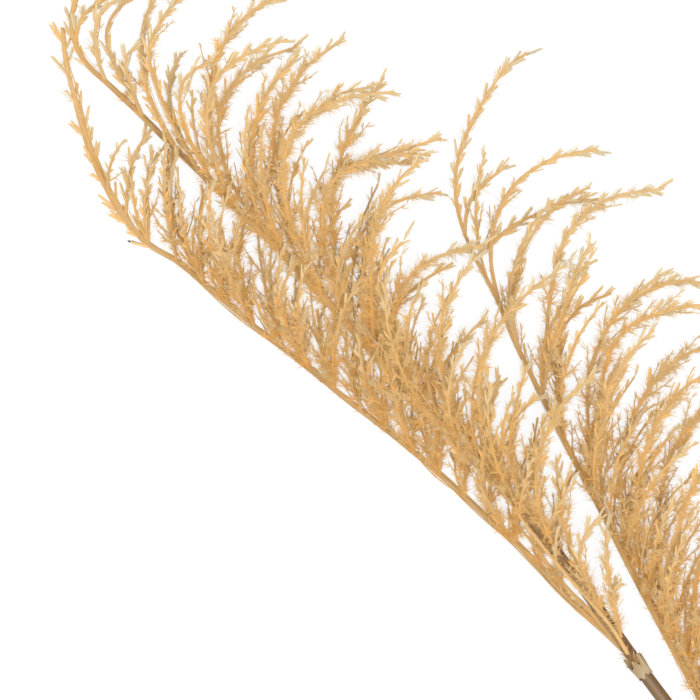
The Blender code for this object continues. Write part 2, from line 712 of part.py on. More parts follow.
def main():
    for item in list(bpy.data.objects):
        bpy.data.objects.remove(item)
    collection = new_collection("dried_plume_bundle")
    cutters = new_collection("cutters")
    outline = three_sided_outline(cutters)
    gold = principled("dried_plume", (0.66, 0.42, 0.20), 0.75)
    brown = principled("dried_stem", (0.27, 0.19, 0.11), 0.5)
    jute = principled("twine", (0.42, 0.30, 0.17), 0.9)

    left = lay_out_left_plume()
    right = lay_out_right_plume()
    left.dress(right.stretches)
    right.dress(left.stretches)

    tie = on_plan(*TIE_SQUARE, TIE_HEIGHT / MM)
    along = (on_plan(*TIE_HEADING, 0) - on_plan(0, 0, 0)).normalized()
    across = along.cross(Vector((0, 0, 1)))
    offset = across * (STEM_TIE_RADIUS + GAP / 2)
    left_stem = smooth_way([left.rachis[0], on_plan(*LEFT_STEM_SQUARE), tie - offset,
                            on_plan(*LEFT_CUT_SQUARE)], STEM_STEPS)
    right_stem = smooth_way([right.rachis[0], tie + offset, on_plan(*RIGHT_CUT_SQUARE)],
                            STEM_STEPS)

    pieces = [
        build_stem("stem_left", left_stem, LEFT_RINGS, brown, collection, cutters),
        build_plume("plume_left", left, left_stem, outline, gold, collection, cutters),
        build_stem("stem_right", right_stem, RIGHT_RINGS, brown, collection, cutters),
        build_plume("plume_right", right, right_stem, outline, gold, collection, cutters),
        build_tie("tie_twine", tie, along, across, jute, collection),
    ]
    bundle = new_object("bundle", None, collection)
    for piece in pieces:
        piece.parent = bundle


main()
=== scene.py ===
"""Two dried, feathery grass plumes on bare stems, tied with twine and laid on a pale surface."""

import math
import random

import bmesh
import bpy
import numpy
from mathutils import Matrix, Vector

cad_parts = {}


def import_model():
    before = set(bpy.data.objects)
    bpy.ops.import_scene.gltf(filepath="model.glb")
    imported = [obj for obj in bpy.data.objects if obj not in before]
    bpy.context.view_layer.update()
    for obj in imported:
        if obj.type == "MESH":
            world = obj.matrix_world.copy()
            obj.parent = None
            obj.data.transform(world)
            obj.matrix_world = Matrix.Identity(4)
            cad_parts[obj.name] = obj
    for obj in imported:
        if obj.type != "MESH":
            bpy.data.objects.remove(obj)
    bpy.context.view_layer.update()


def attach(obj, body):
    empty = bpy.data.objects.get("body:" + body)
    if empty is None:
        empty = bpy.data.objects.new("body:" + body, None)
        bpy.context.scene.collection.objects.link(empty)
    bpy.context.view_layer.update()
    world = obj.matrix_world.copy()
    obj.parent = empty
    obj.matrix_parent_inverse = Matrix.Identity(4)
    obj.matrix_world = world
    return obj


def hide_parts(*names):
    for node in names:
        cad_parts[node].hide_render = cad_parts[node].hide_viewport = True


MM = 0.001

# The plan is drawn on a grid seen from above. A square is SQUARE wide, and squares are counted to
# the right and down from the corner of the reference view, which is GRID_SQUARES wide and high.
# GRID_MIDDLE is halfway both ways, and GRID_ABOVE a little above it. Heights are above the surface.
SQUARE = 0.33 * MM
ORIGIN_SQUARE = (666.0, 581.5)
GRID_TURN = math.radians(-36.0)
GRID_SQUARES = 700
GRID_MIDDLE = 350
GRID_ABOVE = 300

# Clearance between neighbouring pieces, and the heights that loose hairs are kept between
GAP = 0.3 * MM
FLOOR_GAP = 0.06 * MM
SOFT_TOP = 55.0 * MM
TOP_PRESS = 0.55

# Straight parts that a stretch between two points of a smooth way is drawn in
PARTS_PER_POINT = 8

# Stems, with the swollen rings as shares of their length from the plume
STEM_TOP_RADIUS = 2.2 * MM
STEM_CUT_RADIUS = 2.6 * MM
STEM_TIE_RADIUS = 2.5 * MM
STEM_PIPE_RADIUS = 1.3 * MM
STEM_PIPE_DEPTH = 9.0 * MM
STEM_STEPS = 18
RING_LENGTH = 1.2 * MM
RING_SWELL = 1.16
LEFT_RINGS = (0.34, 0.86)
RIGHT_RINGS = (0.22, 0.80)
LEFT_STEM_SQUARE = (664, 700, 13.2)
LEFT_CUT_SQUARE = (1100, 1297, 2.6)
RIGHT_CUT_SQUARE = (1111, 1261, 2.6)

# Twine round both stems
TWINE_RADIUS = 0.9 * MM
TWINE_PITCH = 2.1 * MM
TWINE_TURNS = 3
TWINE_POINTS_PER_TURN = 40
KNOT_RING_RADIUS = 1.7 * MM
KNOT_POINTS = 24
KNOT_TURNS = 0.86
KNOT_TILT = (0.9, 0.35)
KNOT_HEIGHT = 1.35 * MM
TWINE_END_LENGTH = 13.0 * MM
TWINE_END_DROP = 2.5 * MM
TWINE_END_STEPS = 16
TWINE_END_AIMS = ((-1.0, 0.55), (1.0, 0.35))
TIE_SQUARE = (985.0, 1118.0)
TIE_HEADING = (-0.59, -0.81)
TIE_HEIGHT = STEM_TIE_RADIUS + GAP + 2 * TWINE_RADIUS

# Main axis, branches and long strand of a plume
RACHIS_STEPS_PER_POINT = 1.7
RACHIS_FOOT_RADIUS = 2.2 * MM
BOUGH_FOOT_RADIUS = 1.15 * MM
TWIG_FOOT_RADIUS = 0.95 * MM
BOUGH_TIP_RADIUS = 0.75 * MM
STRAND_RADIUS = 1.3 * MM
BOUGH_STEPS = 5
FILLER_STEPS = 4
TWIG_STEPS = 3
STRAND_STEPS = 26
LOWEST_AXIS = 0.8 * MM

# Finer stalks: how many straight parts they have, how bare they are from their feet, how much
# thinner they are than the solid's, thinner still where the plume is lush, and how brown they are.
# The strand's stub is how large its tufts are.
MAIN_REFINING = 2
STRAND_REFINING = 3
AXIS_STEP = 3.0 * MM
LEAST_STEPS = 6
BARE_SHARE = 0.10
BOUGH_THINNING = 0.62
TIP_THINNING = 0.62
LUSH_SLIGHT = 0.25
STRAND_THINNING = 0.8
STRAND_TIP_RADIUS = 0.8 * MM
STRAND_STUB = 1.25
STRAND_BARE = 30.0 * MM
STRAND_BROWN = 1.4
BOUGH_BROWN = 0.3
LOW_STALK_STEPS_PER_POINT = 4
LOW_STALK_BROWN = 0.1

# Branchlets of the main axis and the long strand: the share of its length that bears them, the
# share that is bare from its foot, and how lush they are
MAIN_BEARING = (0.74, 0.06, 0.8)
STRAND_BEARING = (0.76, 0.3, 0.6)

# Branchlets on the inner part of a branch, with angles in degrees. Each stands somewhere in its
# spacing, is shorter towards the branch's tip, and bends back in line with it as it goes out.
BRANCHLET_SPACING = 3.8 * MM
BRANCHLET_PLACES = (0.2, 0.8)
BRANCHLET_TIP_ZONE = 20.0 * MM
BRANCHLET_LENGTHS = (9.0 * MM, 17.0 * MM)
BRANCHLET_SPREADS = (22.0, 36.0)
BRANCHLET_TILT = 70.0
BRANCHLET_STEPS = 4
BRANCHLET_RADIUS = 0.26 * MM
BRANCHLET_TIP_RADIUS = 0.14 * MM
BRANCHLET_STUB = 0.72
BRANCHLET_SHORTENING = 0.35
BRANCHLET_UNBENDING = 0.5
BRANCHLET_BROWN = 0.1
BRANCHLET_BARE = 0.25

# How deep a stalk lies: how far aside and above it others count, how many make it deep, and how
# many tufts a deep one goes without. The hairs of a deep stalk also get painted shade. The main
# axis counts as less deep, and has one tone.
DEPTH_REACH = 5.0 * MM
DEPTH_STEP = 1.5 * MM
DEPTH_CROWD = 16.0
DEPTH_THINNING = 0.65
MAIN_DEPTH = 0.3
MAIN_TONE = 0.2

# Loose strands along the stalks. They twist, are sunk in the stalk and thinner at their ends, and
# rise off it between. The long strand also has a bundle of thicker ones.
FIBRE_LEAST_AXIS = 24.0 * MM
FIBRES_PER_LENGTH = 60.0
FIBRE_LENGTHS = (14.0 * MM, 44.0 * MM)
FIBRE_LONGEST_SHARE = 0.9
FIBRE_STEP = 4.0 * MM
FIBRE_LEAST_STEPS = 4
FIBRE_TWIST = 1.5
FIBRE_SUNK = 0.85
FIBRE_LIFTS = (0.1, 0.9)
FIBRE_RADIUS = 0.13 * MM
FIBRE_END_SHARE = 0.35
FIBRE_BROWN_SHARE = 0.6
BUNDLE_PER_LENGTH = 160.0
BUNDLE_RADIUS = 0.3 * MM

# Sides of the round pieces
STALK_SIDES = 7
BRANCHLET_SIDES = 4
FIBRE_SIDES = 3
STEM_SIDES = 28
TWINE_SIDES = 24

# Hairs. HAIR_MARKS is where their corners are, as shares of their length, by how many rings they
# have between two points, with 0 where the foot is a ring. A hair leans by a share of its tuft's
# spread, bends on outwards and gets thinner. Lengths and starts vary within a tuft.
HAIR_SIDES = 3
HAIR_MARKS = {0: (0.0, 1.0), 1: (0.0, 0.55, 1.0), 2: (0.0, 0.28, 0.86, 1.0)}
HAIR_LEANS = (0.2, 1.0)
HAIR_CURL = 0.3
HAIR_THINNING = 0.2
HAIR_LENGTH_SHARES = (0.75, 1.1)
HAIR_START_SHARES = (0.5, 1.1)

# Tufts by kind: a seed, then bundles of hairs, each as its count, its length in mm, its spread in
# degrees, its radius in mm, its rings, and how many mm along and beside the tuft's middle it starts
TUFT_KINDS = 6
TUFTS = {
    "stub": (5, ((2, 6.4, 5.0, 0.42, 2, 0.4, 0.2), (5, 2.4, 26.0, 0.11, 0, 4.4, 0.36),
                 (4, 2.6, 34.0, 0.08, 0, 2.0, 0.3))),
    "sprig": (6, ((3, 4.6, 16.0, 0.15, 1, 0.2, 0.08), (5, 3.4, 42.0, 0.09, 0, 0.8, 0.1))),
    "brush": (7, ((9, 4.8, 32.0, 0.09, 0, 0.3, 0.1),)),
    "haze": (10, ((12, 4.8, 66.0, 0.17, 0, 0.0, 0.1),)),
    "fuzz": (8, ((5, 2.3, 24.0, 0.08, 0, 0.0, 0.3),)),
    "down": (9, ((1, 4.4, 12.0, 0.08, 0, 0.0, 0.0),)),
}

# How tamely tufts spread where a plume isn't lush, as a share of how they spread where it is
TAMEST = 0.4


def tuft_rule(spacing, spreads, sizes, bare_foot, tilt=180.0, **others):
    """How tufts grow on stalks, as their tree's inputs, from a spacing in mm and degrees.

    Sparing leaves tufts out where a plume isn't lush, and crowding where it is. Unless others say
    so, tufts grow all the way to the tip, however long a stalk is.
    """
    inputs = {
        "spacing": spacing * MM, "nearest_to_tip": 0.0, "farthest_from_tip": 1.0,
        "bare_foot": bare_foot, "sparing": 0.0, "crowding": 0.0,
        "least_spread": math.radians(spreads[0]), "greatest_spread": math.radians(spreads[1]),
        "greatest_tilt": math.radians(tilt), "smallest": sizes[0], "largest": sizes[1],
    }
    return {**inputs, **others}


# What grows on a plume: a name, the kind of tuft, the stalks that bear it and its rule
DRESSINGS = (
    ("tips", "stub", ("main", "strand", "boughs"),
     tuft_rule(2.7, (15, 30), (0.8, 1.2), 1.0, 35, farthest_from_tip=36.0 * MM, crowding=0.35)),
    ("fuzz", "fuzz", ("main", "strand", "boughs", "low"),
     tuft_rule(1.1, (8, 26), (0.7, 1.3), 0.6)),
    ("sprigs", "sprig", ("branchlets",), tuft_rule(1.9, (18, 42), (0.75, 1.3), 1.0, 90)),
    ("brush", "brush", ("main", "boughs"),
     tuft_rule(1.2, (14, 46), (0.6, 1.3), 0.8, nearest_to_tip=6.0 * MM, sparing=0.9)),
    ("haze", "haze", ("main", "boughs", "branchlets"),
     tuft_rule(1.0, (12, 72), (0.6, 1.3), 0.3, nearest_to_tip=6.0 * MM, sparing=1.0)),
    ("down", "down", ("boughs", "branchlets"),
     tuft_rule(0.8, (14, 60), (0.5, 1.3), 0.3, sparing=0.6)),
)
DRESSING_SEED_STEP = 10

# How far normals lean upwards on a plume. It stays under a half, where one straight down vanishes.
NORMAL_LIFT = 0.48

# Torn sheath round the foot of each plume, with its lobes' directions and half widths in degrees
SHEATH_COLUMNS = 48
SHEATH_ROWS = 16
SHEATH_BELOW = 4.6 * MM
SHEATH_RADIUS = 2.65 * MM
SHEATH_WALL = 0.22 * MM
LOBE_TURNS = (14.0, 58.0, 95.0, 150.0, 188.0, 240.0, 290.0, 330.0)
LOBE_WIDTH = 20.0
LOBE_LENGTHS = (0.8 * MM, 5.2 * MM)
LOBE_FLARES = (-0.2 * MM, 1.5 * MM)
SHEATH_FRAY = 0.9 * MM

# How a sheath waves along and round itself, how it is pleated and how uneven it is in mm
SHEATH_WAVE = 0.05
SHEATH_WAVE_RUN = 5
SHEATH_WAVE_TURN = 30
SHEATH_PLEATS = 7
SHEATH_PLEAT_DEPTH = 0.35 * MM
SHEATH_UNEVENNESS = 0.04

# Hairs round a sheath, with their places down the stem as shares of how far the sheath goes down
SHEATH_HAIR_MARKS = (0.6, -0.3, -1.2)
SHEATH_HAIRS = tuft_rule(0.55, (20, 50), (0.8, 1.5), 0.0)

# Finer stems: their steps, how uneven they are, how far past the middle of a ring its shade is
# darkest and how narrow the shade is, and the painted shade of the pipe in a cut end, at its mouth
# and at its bottom
STEM_FINE_STEPS = 150
STEM_UNEVENNESS = 0.006
RING_SHADE_PLACE = 0.6
RING_SHADE_NARROWNESS = 6
PIPE_MOUTH_SHADE = 0.3
PIPE_BOTTOM_SHADE = 1.0
SHARP_ANGLE = 40.0

# Finer twine: its plies, how deep its grooves are and how far a ply goes in one turn
TWINE_PLIES = 3
TWINE_GROOVE = 0.34
TWINE_LAY = 5.5 * MM
TWINE_SEED = 77
TWINE_FIBRES = tuft_rule(0.35, (35, 85), (0.4, 0.9), 0.0)

# Colours, as linear red, green and blue
DEEP_GOLD = (0.68, 0.31, 0.062)
DARK_GOLD = (0.52, 0.225, 0.052)
GOLD = (0.765, 0.442, 0.138)
PALE_GOLD = (0.665, 0.455, 0.21)
CREAM = (0.54, 0.457, 0.294)
STALK_GOLD = (0.62, 0.36, 0.12)
STALK_PALE = (0.58, 0.41, 0.21)
BROWN = (0.15, 0.073, 0.025)
PURPLE_BROWN = (0.11, 0.058, 0.036)
TAUPE = (0.158, 0.087, 0.030)
PALE_TAUPE = (0.26, 0.16, 0.07)
DARK_TAUPE = (0.085, 0.047, 0.019)
PAPER = (0.56, 0.46, 0.32)
STRAW = (0.37, 0.255, 0.13)
WHITE = (1.0, 1.0, 1.0, 1.0)

# Looks. A grain is how fine it is across a stalk and along it, then its detail and roughness. A
# speckle is how fine it is and its detail. Shares say how much each thing counts in a colour, whose
# stops follow. A relief is how deep the grain is and how strong, and rough is how much it adds to
# the least roughness.

# Hairs, with the shares of a tuft's tone, of how far along the hair a place is, of how near the
# stalk's tip, and of the speckle
HAIR_PALE_ZONE = 52.0 * MM
HAIR_LUSH_SHARE = 0.4
HAIR_SPECKLE = (70.0, 2.0)
HAIR_SHARES = (0.16, 0.12, 0.36, 0.22)
HAIR_LEAST = 0.28
# How much darker a hair is painted where its stalk lies deep under others: painted shade
HAIR_PAINTED_SHADE_SHARE = 0.5
HAIR_STOPS = ((0.0, DEEP_GOLD), (0.3, GOLD), (0.66, PALE_GOLD), (1.0, CREAM))

# Stalks, with the shares of the grain, of the stalk's tone and of the speckle, then their brown
STALK_GRAIN = (2.2, 90.0)
STALK_SPECKLE = (60.0, 2.0)
STALK_SHARES = (0.55, 0.35, 0.2)
STALK_STOPS = ((0.1, DARK_GOLD), (0.42, STALK_GOLD), (0.8, STALK_PALE))
PATCH_GRAIN = (0.7, 160.0, 4.0, 0.65)
PATCH_STOPS = ((0.3, PURPLE_BROWN), (0.55, BROWN), (0.78, GOLD))
BROWN_GRAIN = (0.8, 70.0)
BROWN_GAIN = 1.8
BROWN_FADE_ZONE = 110.0 * MM
BROWN_LUSH_SHARE = 0.75
STALK_RELIEF = (0.2 * MM, 0.6)
STALK_ROUGH = (0.3, 0.38)

# Stems, with the shares of their fine grain and of the broad one
STEM_GRAIN = (4.5, 22.0, 4.0, 0.6)
STEM_BROAD_GRAIN = (0.9, 14.0, 2.0)
STEM_SHARES = (0.6, 0.4)
STEM_STOPS = ((0.28, DARK_TAUPE), (0.48, TAUPE), (0.72, PALE_TAUPE))
STEM_RELIEF = (0.2 * MM, 0.5)
STEM_ROUGH = (0.3, 0.3)

# Sheaths, with the shares of their veins and of the speckle
SHEATH_VEINS = (9.0, 40.0)
SHEATH_SPECKLE = (220.0, 3.0)
SHEATH_SHARES = (0.6, 0.4)
SHEATH_STOPS = ((0.25, TAUPE), (0.45, STRAW), (0.68, PAPER))
SHEATH_RELIEF = (0.15 * MM, 0.5)
SHEATH_ROUGH = (0.2, 0.6)

# Twine, with the shares of how high on a ply a place is, for painted shade in the grooves, and of
# the threads
TWINE_THREADS = (6.0, 900.0)
TWINE_SHARES = (0.5, 0.55)
TWINE_STOPS = ((0.1, BROWN), (0.5, STRAW), (0.95, PALE_GOLD))
TWINE_RELIEF = (0.2 * MM, 0.7)

# Surface, light and camera. A lamp is its place, its width and its power. The camera sees the grid
# from edge to edge at SHARP_HEIGHT.
FLOOR_HALF_WIDTH = 3.0
FLOOR_SPECKLE = (30.0, 2.0)
FLOOR_STOPS = ((0.0, (0.14, 0.14, 0.14)), (1.0, (0.16, 0.16, 0.16)))
FLOOR_GLOW = 0.84
WORLD_STRENGTH = 0.8
LAMPS = (
    ((0.12, -0.08, 4.4), 0.8, 128.0), ((-0.7, 0.9, 1.6), 1.2, 4.0), ((0.9, -0.5, 1.4), 1.0, 1.5),
)
CAMERA_HEIGHT = 4.0
CAMERA_SENSOR = 36.0
SHARP_HEIGHT = 15.0 * MM

# Left plume: its main axis from foot to tip, as squares across, squares down and height in mm
LEFT_RACHIS = (
    (637, 664, 14), (604, 617, 15), (572, 573, 16), (542, 534, 17), (506, 492, 18),
    (462, 447, 19), (420, 404, 20), (378, 358, 20), (346, 322, 20), (310, 283, 20),
    (275, 246, 20), (242, 214, 19), (206, 178, 18), (172, 146, 17), (143, 117, 16),
    (108, 84, 15), (88, 66, 14), (77, 49, 13), (71, 22, 12), (76, -2, 12), (95, -25, 12),
)

# The long lowest branch of the left plume, which lies on the surface along its outer edge
LEFT_STRAND = (
    (634, 660, 13.5), (600, 628, 8), (560, 590, 4), (520, 547, 2), (480, 511, 1.5),
    (440, 475, 1.3), (400, 441, 1.2), (360, 410, 1.2), (320, 378, 1.2), (285, 350, 1.2),
    (260, 331, 1.2), (220, 298, 1.1), (180, 264, 1.1), (150, 245, 1.1), (135, 231, 1.1),
    (120, 212, 1.2), (110, 195, 1.4), (100, 175, 2), (85, 133, 3), (72, 90, 4),
    (64, 55, 5), (62, 27, 6),
)

# Branches of the left plume, each as the height of its tip in mm and its way from foot to tip
LEFT_BOUGHS = (
    (16, (72, 36), (80, 20), (90, 9), (104, 0), (120, -12)),
    (24, (106, 82), (98, 60), (95, 38), (98, 18), (112, 4), (138, -12)),
    (8, (143, 117), (128, 88), (114, 65), (107, 44), (107, 26), (116, 8), (148, -14)),
    (30, (150, 124), (134, 95), (127, 72), (127, 56), (142, 46)),
    (18, (172, 146), (156, 112), (147, 89), (144, 62), (141, 40), (146, 16), (168, -18)),
    (34, (190, 163), (171, 120), (155, 82), (149, 60), (156, 34), (170, 12), (198, -16)),
    (5, (200, 172), (180, 135), (169, 100), (170, 78), (181, 52)),
    (44, (213, 185), (190, 140), (180, 100), (188, 78), (211, 63)),
    (30, (250, 222), (222, 185), (212, 140), (211, 95), (218, 55), (238, 22), (304, -12)),
    (14, (262, 234), (232, 185), (219, 140), (222, 104), (242, 74), (268, 55), (299, 46)),
    (48, (240, 212), (215, 160), (207, 115), (218, 78), (240, 60), (288, 42)),
    (38, (285, 256), (262, 205), (252, 160), (258, 118), (274, 84), (299, 56)),
    (22, (310, 283), (288, 235), (276, 180), (275, 125), (293, 88), (316, 54), (344, 38)),
    (50, (322, 296), (298, 240), (284, 190), (284, 155), (300, 125), (328, 105), (394, 94)),
    (10, (346, 322), (336, 265), (332, 205), (340, 160), (355, 122), (384, 77)),
    (36, (362, 340), (340, 290), (322, 235), (326, 190), (350, 170), (398, 153), (441, 139)),
    (56, (378, 358), (372, 300), (372, 245), (385, 205), (398, 180), (419, 162)),
    (16, (404, 388), (380, 330), (365, 270), (368, 225), (390, 205), (441, 192)),
    (42, (404, 388), (392, 345), (383, 300), (380, 270), (402, 243)),
    (36, (434, 418), (412, 370), (395, 325), (400, 290), (425, 265), (455, 251), (484, 245)),
    (22, (448, 433), (415, 390), (392, 350), (386, 328), (402, 298), (424, 281), (453, 263)),
    (44, (462, 447), (448, 395), (438, 345), (448, 300), (475, 256)),
    (26, (485, 472), (458, 420), (442, 375), (455, 350), (484, 318)),
    (52, (506, 492), (488, 440), (478, 395), (484, 350), (504, 318), (530, 290), (564, 265)),
    (36, (530, 520), (512, 470), (511, 425), (526, 365)),
    (16, (520, 508), (495, 455), (485, 425), (500, 375)),
    (30, (548, 540), (522, 485), (510, 440), (520, 410), (538, 396)),
    (46, (560, 556), (540, 515), (535, 478), (546, 430), (562, 402), (592, 375)),
    (26, (590, 600), (575, 560), (560, 510), (556, 458)),
    (32, (604, 617), (582, 570), (580, 542), (600, 515)),
    (30, (630, 652), (616, 615), (607, 572), (605, 530)),
)

# Shorter branches of the left plume, which leave the branches above or the long strand
LEFT_TWIGS = (
    (40, (300, 125), (335, 98), (370, 89)),
    (32, (360, 166), (385, 164), (414, 164)),
    (44, (398, 153), (414, 155), (430, 157)),
    (34, (567, 530), (560, 495), (571, 470)),
    (36, (609, 590), (614, 586), (622, 583)),
    (8, (125, 216), (128, 180), (131, 160), (152, 127)),
    (14, (160, 250), (148, 205), (147, 182), (153, 150)),
    (4, (200, 280), (188, 258), (168, 205), (168, 148)),
    (20, (215, 293), (203, 265), (199, 225), (204, 190)),
    (10, (260, 331), (245, 290), (238, 250), (248, 212)),
    (26, (300, 362), (285, 320), (282, 290), (297, 260)),
    (12, (340, 393), (322, 350), (320, 318), (337, 288)),
    (28, (400, 441), (375, 400), (368, 370), (382, 342)),
    (10, (450, 484), (425, 440), (418, 410), (432, 378)),
    (22, (510, 539), (490, 505), (480, 478), (488, 450)),
)

# Bare stalks that run beside the foot of the left plume
LEFT_LOW_STALKS = (
    ((628, 654, 16), (612, 628, 18), (594, 606, 20), (568, 577, 21), (544, 548, 22),
     (522, 520, 22), (500, 488, 21)),
    ((626, 655, 12), (606, 630, 11), (590, 612, 10), (575, 597, 8), (560, 583, 6),
     (545, 568, 4), (525, 551, 3)),
    ((622, 648, 13), (600, 620, 13), (582, 603, 12), (566, 586, 10), (550, 566, 10),
     (534, 545, 12), (520, 528, 14)),
)
LOW_STALK_RADII = (0.7 * MM, 0.3 * MM)

# Right plume: its main axis from foot to tip
RIGHT_RACHIS = (
    (785, 825, 12), (745, 765, 11), (710, 712, 10), (675, 650, 9), (632, 570, 8),
    (603, 513, 7), (576, 463, 7), (553, 418, 7), (533, 378, 7), (515, 342, 7),
    (498, 300, 7), (478, 262, 8), (463, 229, 10), (456, 200, 11), (456, 170, 12),
    (463, 143, 13), (475, 115, 14), (497, 80, 15), (510, 63, 15), (527, 53, 15),
)

# Branches of the right plume
RIGHT_BOUGHS = (
    (20, (466, 236), (467, 210), (477, 190), (508, 165)),
    (6, (480, 265), (491, 245), (510, 228), (536, 214)),
    (26, (498, 300), (491, 262), (494, 225), (511, 190), (545, 162), (597, 150)),
    (12, (515, 342), (512, 300), (522, 258), (540, 222), (563, 204), (600, 199)),
    (30, (545, 402), (545, 350), (551, 295), (560, 250), (580, 218), (612, 198), (663, 189)),
    (46, (538, 388), (552, 345), (566, 300), (575, 270), (589, 244)),
    (20, (556, 424), (558, 370), (564, 315), (586, 273)),
    (0, (564, 440), (558, 385), (562, 330), (580, 308), (612, 293)),
    (28, (590, 490), (588, 430), (590, 372), (606, 328), (640, 295), (682, 280), (728, 288)),
    (44, (603, 513), (600, 450), (600, 385), (615, 340), (648, 315), (705, 304), (735, 306)),
    (56, (595, 500), (602, 430), (612, 375), (651, 330)),
    (18, (632, 570), (622, 505), (625, 440), (645, 395), (680, 358), (738, 338)),
    (38, (645, 595), (636, 525), (642, 455), (662, 415), (690, 382), (742, 362)),
    (0, (660, 625), (658, 550), (665, 480), (682, 435), (712, 408), (750, 392)),
    (50, (675, 650), (672, 580), (682, 510), (705, 465), (765, 428)),
    (28, (690, 678), (692, 605), (705, 545), (730, 500), (775, 470)),
    (0, (700, 695), (708, 630), (722, 580), (750, 540), (790, 512)),
    (42, (718, 725), (728, 665), (745, 615), (770, 580), (802, 560)),
    (20, (735, 750), (748, 700), (765, 655), (790, 625), (815, 610)),
    (34, (752, 776), (766, 730), (782, 695), (806, 672)),
    (0, (768, 800), (780, 765), (794, 738), (815, 722)),
    (24, (778, 815), (790, 792), (800, 775), (812, 765)),
)

# Shorter branches of the right plume
RIGHT_TWIGS = (
    (20, (540, 222), (560, 202), (589, 187)),
    (34, (566, 300), (574, 278), (587, 262)),
    (36, (632, 300), (643, 288), (656, 277)),
)

# Branches that fill the body of a plume: how many, the shares of the way that they leave between
# which they stand, their least and greatest length, and the lowest and highest of their tips. They
# lean off the way and bend by so many radians, and heights step by GOLDEN_SHARE so that neighbours
# differ.
LEFT_FILLERS = {
    "count": 9, "stretch": (0.10, 0.80),
    "lengths": (30.0 * MM, 44.0 * MM), "heights": (3.0 * MM, 58.0 * MM),
}
STRAND_FILLERS = {
    "count": 9, "stretch": (0.22, 0.84),
    "lengths": (15.0 * MM, 25.0 * MM), "heights": (4.0 * MM, 26.0 * MM),
}
RIGHT_FILLERS = {
    "count": 13, "stretch": (0.06, 0.74),
    "lengths": (34.0 * MM, 44.0 * MM), "heights": (3.0 * MM, 54.0 * MM),
}
FILLER_LEAN = (0.05, 0.45)
FILLER_BEND = (0.55, 1.2)
FILLER_VARIATION = (0.8, 1.15)
FILLER_POINTS = 5
FILLER_STUB = 0.7
GOLDEN_SHARE = 0.618

# Slighter branches that only the finer plumes have
LEFT_MORE = {
    "count": 28, "stretch": (0.16, 0.64), "lengths": (26.0 * MM, 46.0 * MM),
    "heights": (6.0 * MM, 50.0 * MM), "lean": (0.1, 0.6),
}
STRAND_MORE = {
    "count": 50, "stretch": (0.10, 0.72), "lengths": (20.0 * MM, 40.0 * MM),
    "heights": (10.0 * MM, 42.0 * MM), "lean": (0.35, 0.8), "bends": (0.3, 0.9),
}
RIGHT_MORE = {
    "count": 28, "stretch": (0.03, 0.46), "lengths": (30.0 * MM, 46.0 * MM),
    "heights": (3.0 * MM, 50.0 * MM), "lean": (0.1, 0.6),
}

# How lush a plume is at shares of its main axis from its foot
LEFT_LUSH = (
    (0.0, 0.6), (0.12, 0.7), (0.28, 1.0), (0.59, 1.0), (0.65, 0.5), (0.71, 0.15), (0.8, 0.06),
    (1.0, 0.06),
)
RIGHT_LUSH = ((0.0, 1.0), (0.36, 1.0), (0.50, 0.5), (0.62, 0.15), (1.0, 0.1))

# How much farther what grows at a tip comes down a branch where a plume is sparse, and down the
# long strand
SPARSE_ZONE = 1.7
STRAND_ZONE = 2.3

# The same for a main axis, then its radius at its tip, how soon it thins and how brown it is
LEFT_TIP = (1.0, 0.75 * MM, 1.0, 1.0)
RIGHT_TIP = (1.8, 0.45 * MM, 1.7, 0.2)

# How well hairs cover the main axis at shares of its length
LEFT_COVER = ((0.16, 0.0), (0.3, 1.0), (0.68, 1.0), (0.74, 0.0))
RIGHT_COVER = ((0.0, 0.4), (0.3, 0.15), (0.4, 0.0))

# The sides that branchlets leave a stalk to in turn, 0 for its right and 1 for its left
BOTH_SIDES = (0, 1)
ONE_SIDE = (0, 0)

# The share of branchlets that a plume has where it isn't lush, and how far from a branch's tip it
# gets less lush
LEAST_BRANCHLETS = 0.15
LUSH_FADE = 38.0 * MM

LEFT_SEED = 11
RIGHT_SEED = 23


def on_plan(across, down, height):
    """Turn a grid square and a height in mm into a place on the surface."""
    flat = Vector((across - ORIGIN_SQUARE[0], ORIGIN_SQUARE[1] - down)) * SQUARE
    flat.rotate(Matrix.Rotation(GRID_TURN, 2))
    return Vector((flat.x, flat.y, height * MM))


def smooth_way(points, steps):
    """Return steps + 1 evenly spaced places on a smooth curve through the points."""
    ends = [2 * points[0] - points[1]] + list(points) + [2 * points[-1] - points[-2]]
    dense = []
    for before, start, end, after in zip(ends, ends[1:], ends[2:], ends[3:]):
        for part in range(PARTS_PER_POINT):
            t = part / PARTS_PER_POINT
            pull = (end - before) * t + (2 * before - 5 * start + 4 * end - after) * t ** 2
            pull += (3 * start - before - 3 * end + after) * t ** 3
            dense.append(start + pull / 2)
    dense.append(points[-1].copy())
    return even_way(dense, steps)


def even_way(places, steps):
    """Space steps + 1 places evenly along a line of straight stretches."""
    marks = [0.0]
    for start, end in zip(places, places[1:]):
        marks.append(marks[-1] + (end - start).length)
    way = [places[0].copy()]
    stretch = 0
    for step in range(1, steps):
        mark = marks[-1] * step / steps
        while marks[stretch + 1] < mark:
            stretch += 1
        share = (mark - marks[stretch]) / (marks[stretch + 1] - marks[stretch])
        way.append(places[stretch].lerp(places[stretch + 1], share))
    way.append(places[-1].copy())
    return way


def way_length(way):
    return sum((end - start).length for start, end in zip(way, way[1:]))


def heading(way, index):
    """Direction of a way at one of its places."""
    return (way[min(index + 1, len(way) - 1)] - way[max(index - 1, 0)]).normalized()


def tapered(start, end, count):
    return [start + (end - start) * step / (count - 1) for step in range(count)]


def swept_aside(ahead, tilt, spread):
    """A direction that leaves the one ahead by spread, to the side that tilt turns to."""
    upward = (Vector((0, 0, 1)) - ahead * ahead.z).normalized()
    outward = ahead.cross(upward) * math.cos(tilt) + upward * math.sin(tilt)
    return ahead * math.cos(spread) + outward * math.sin(spread)


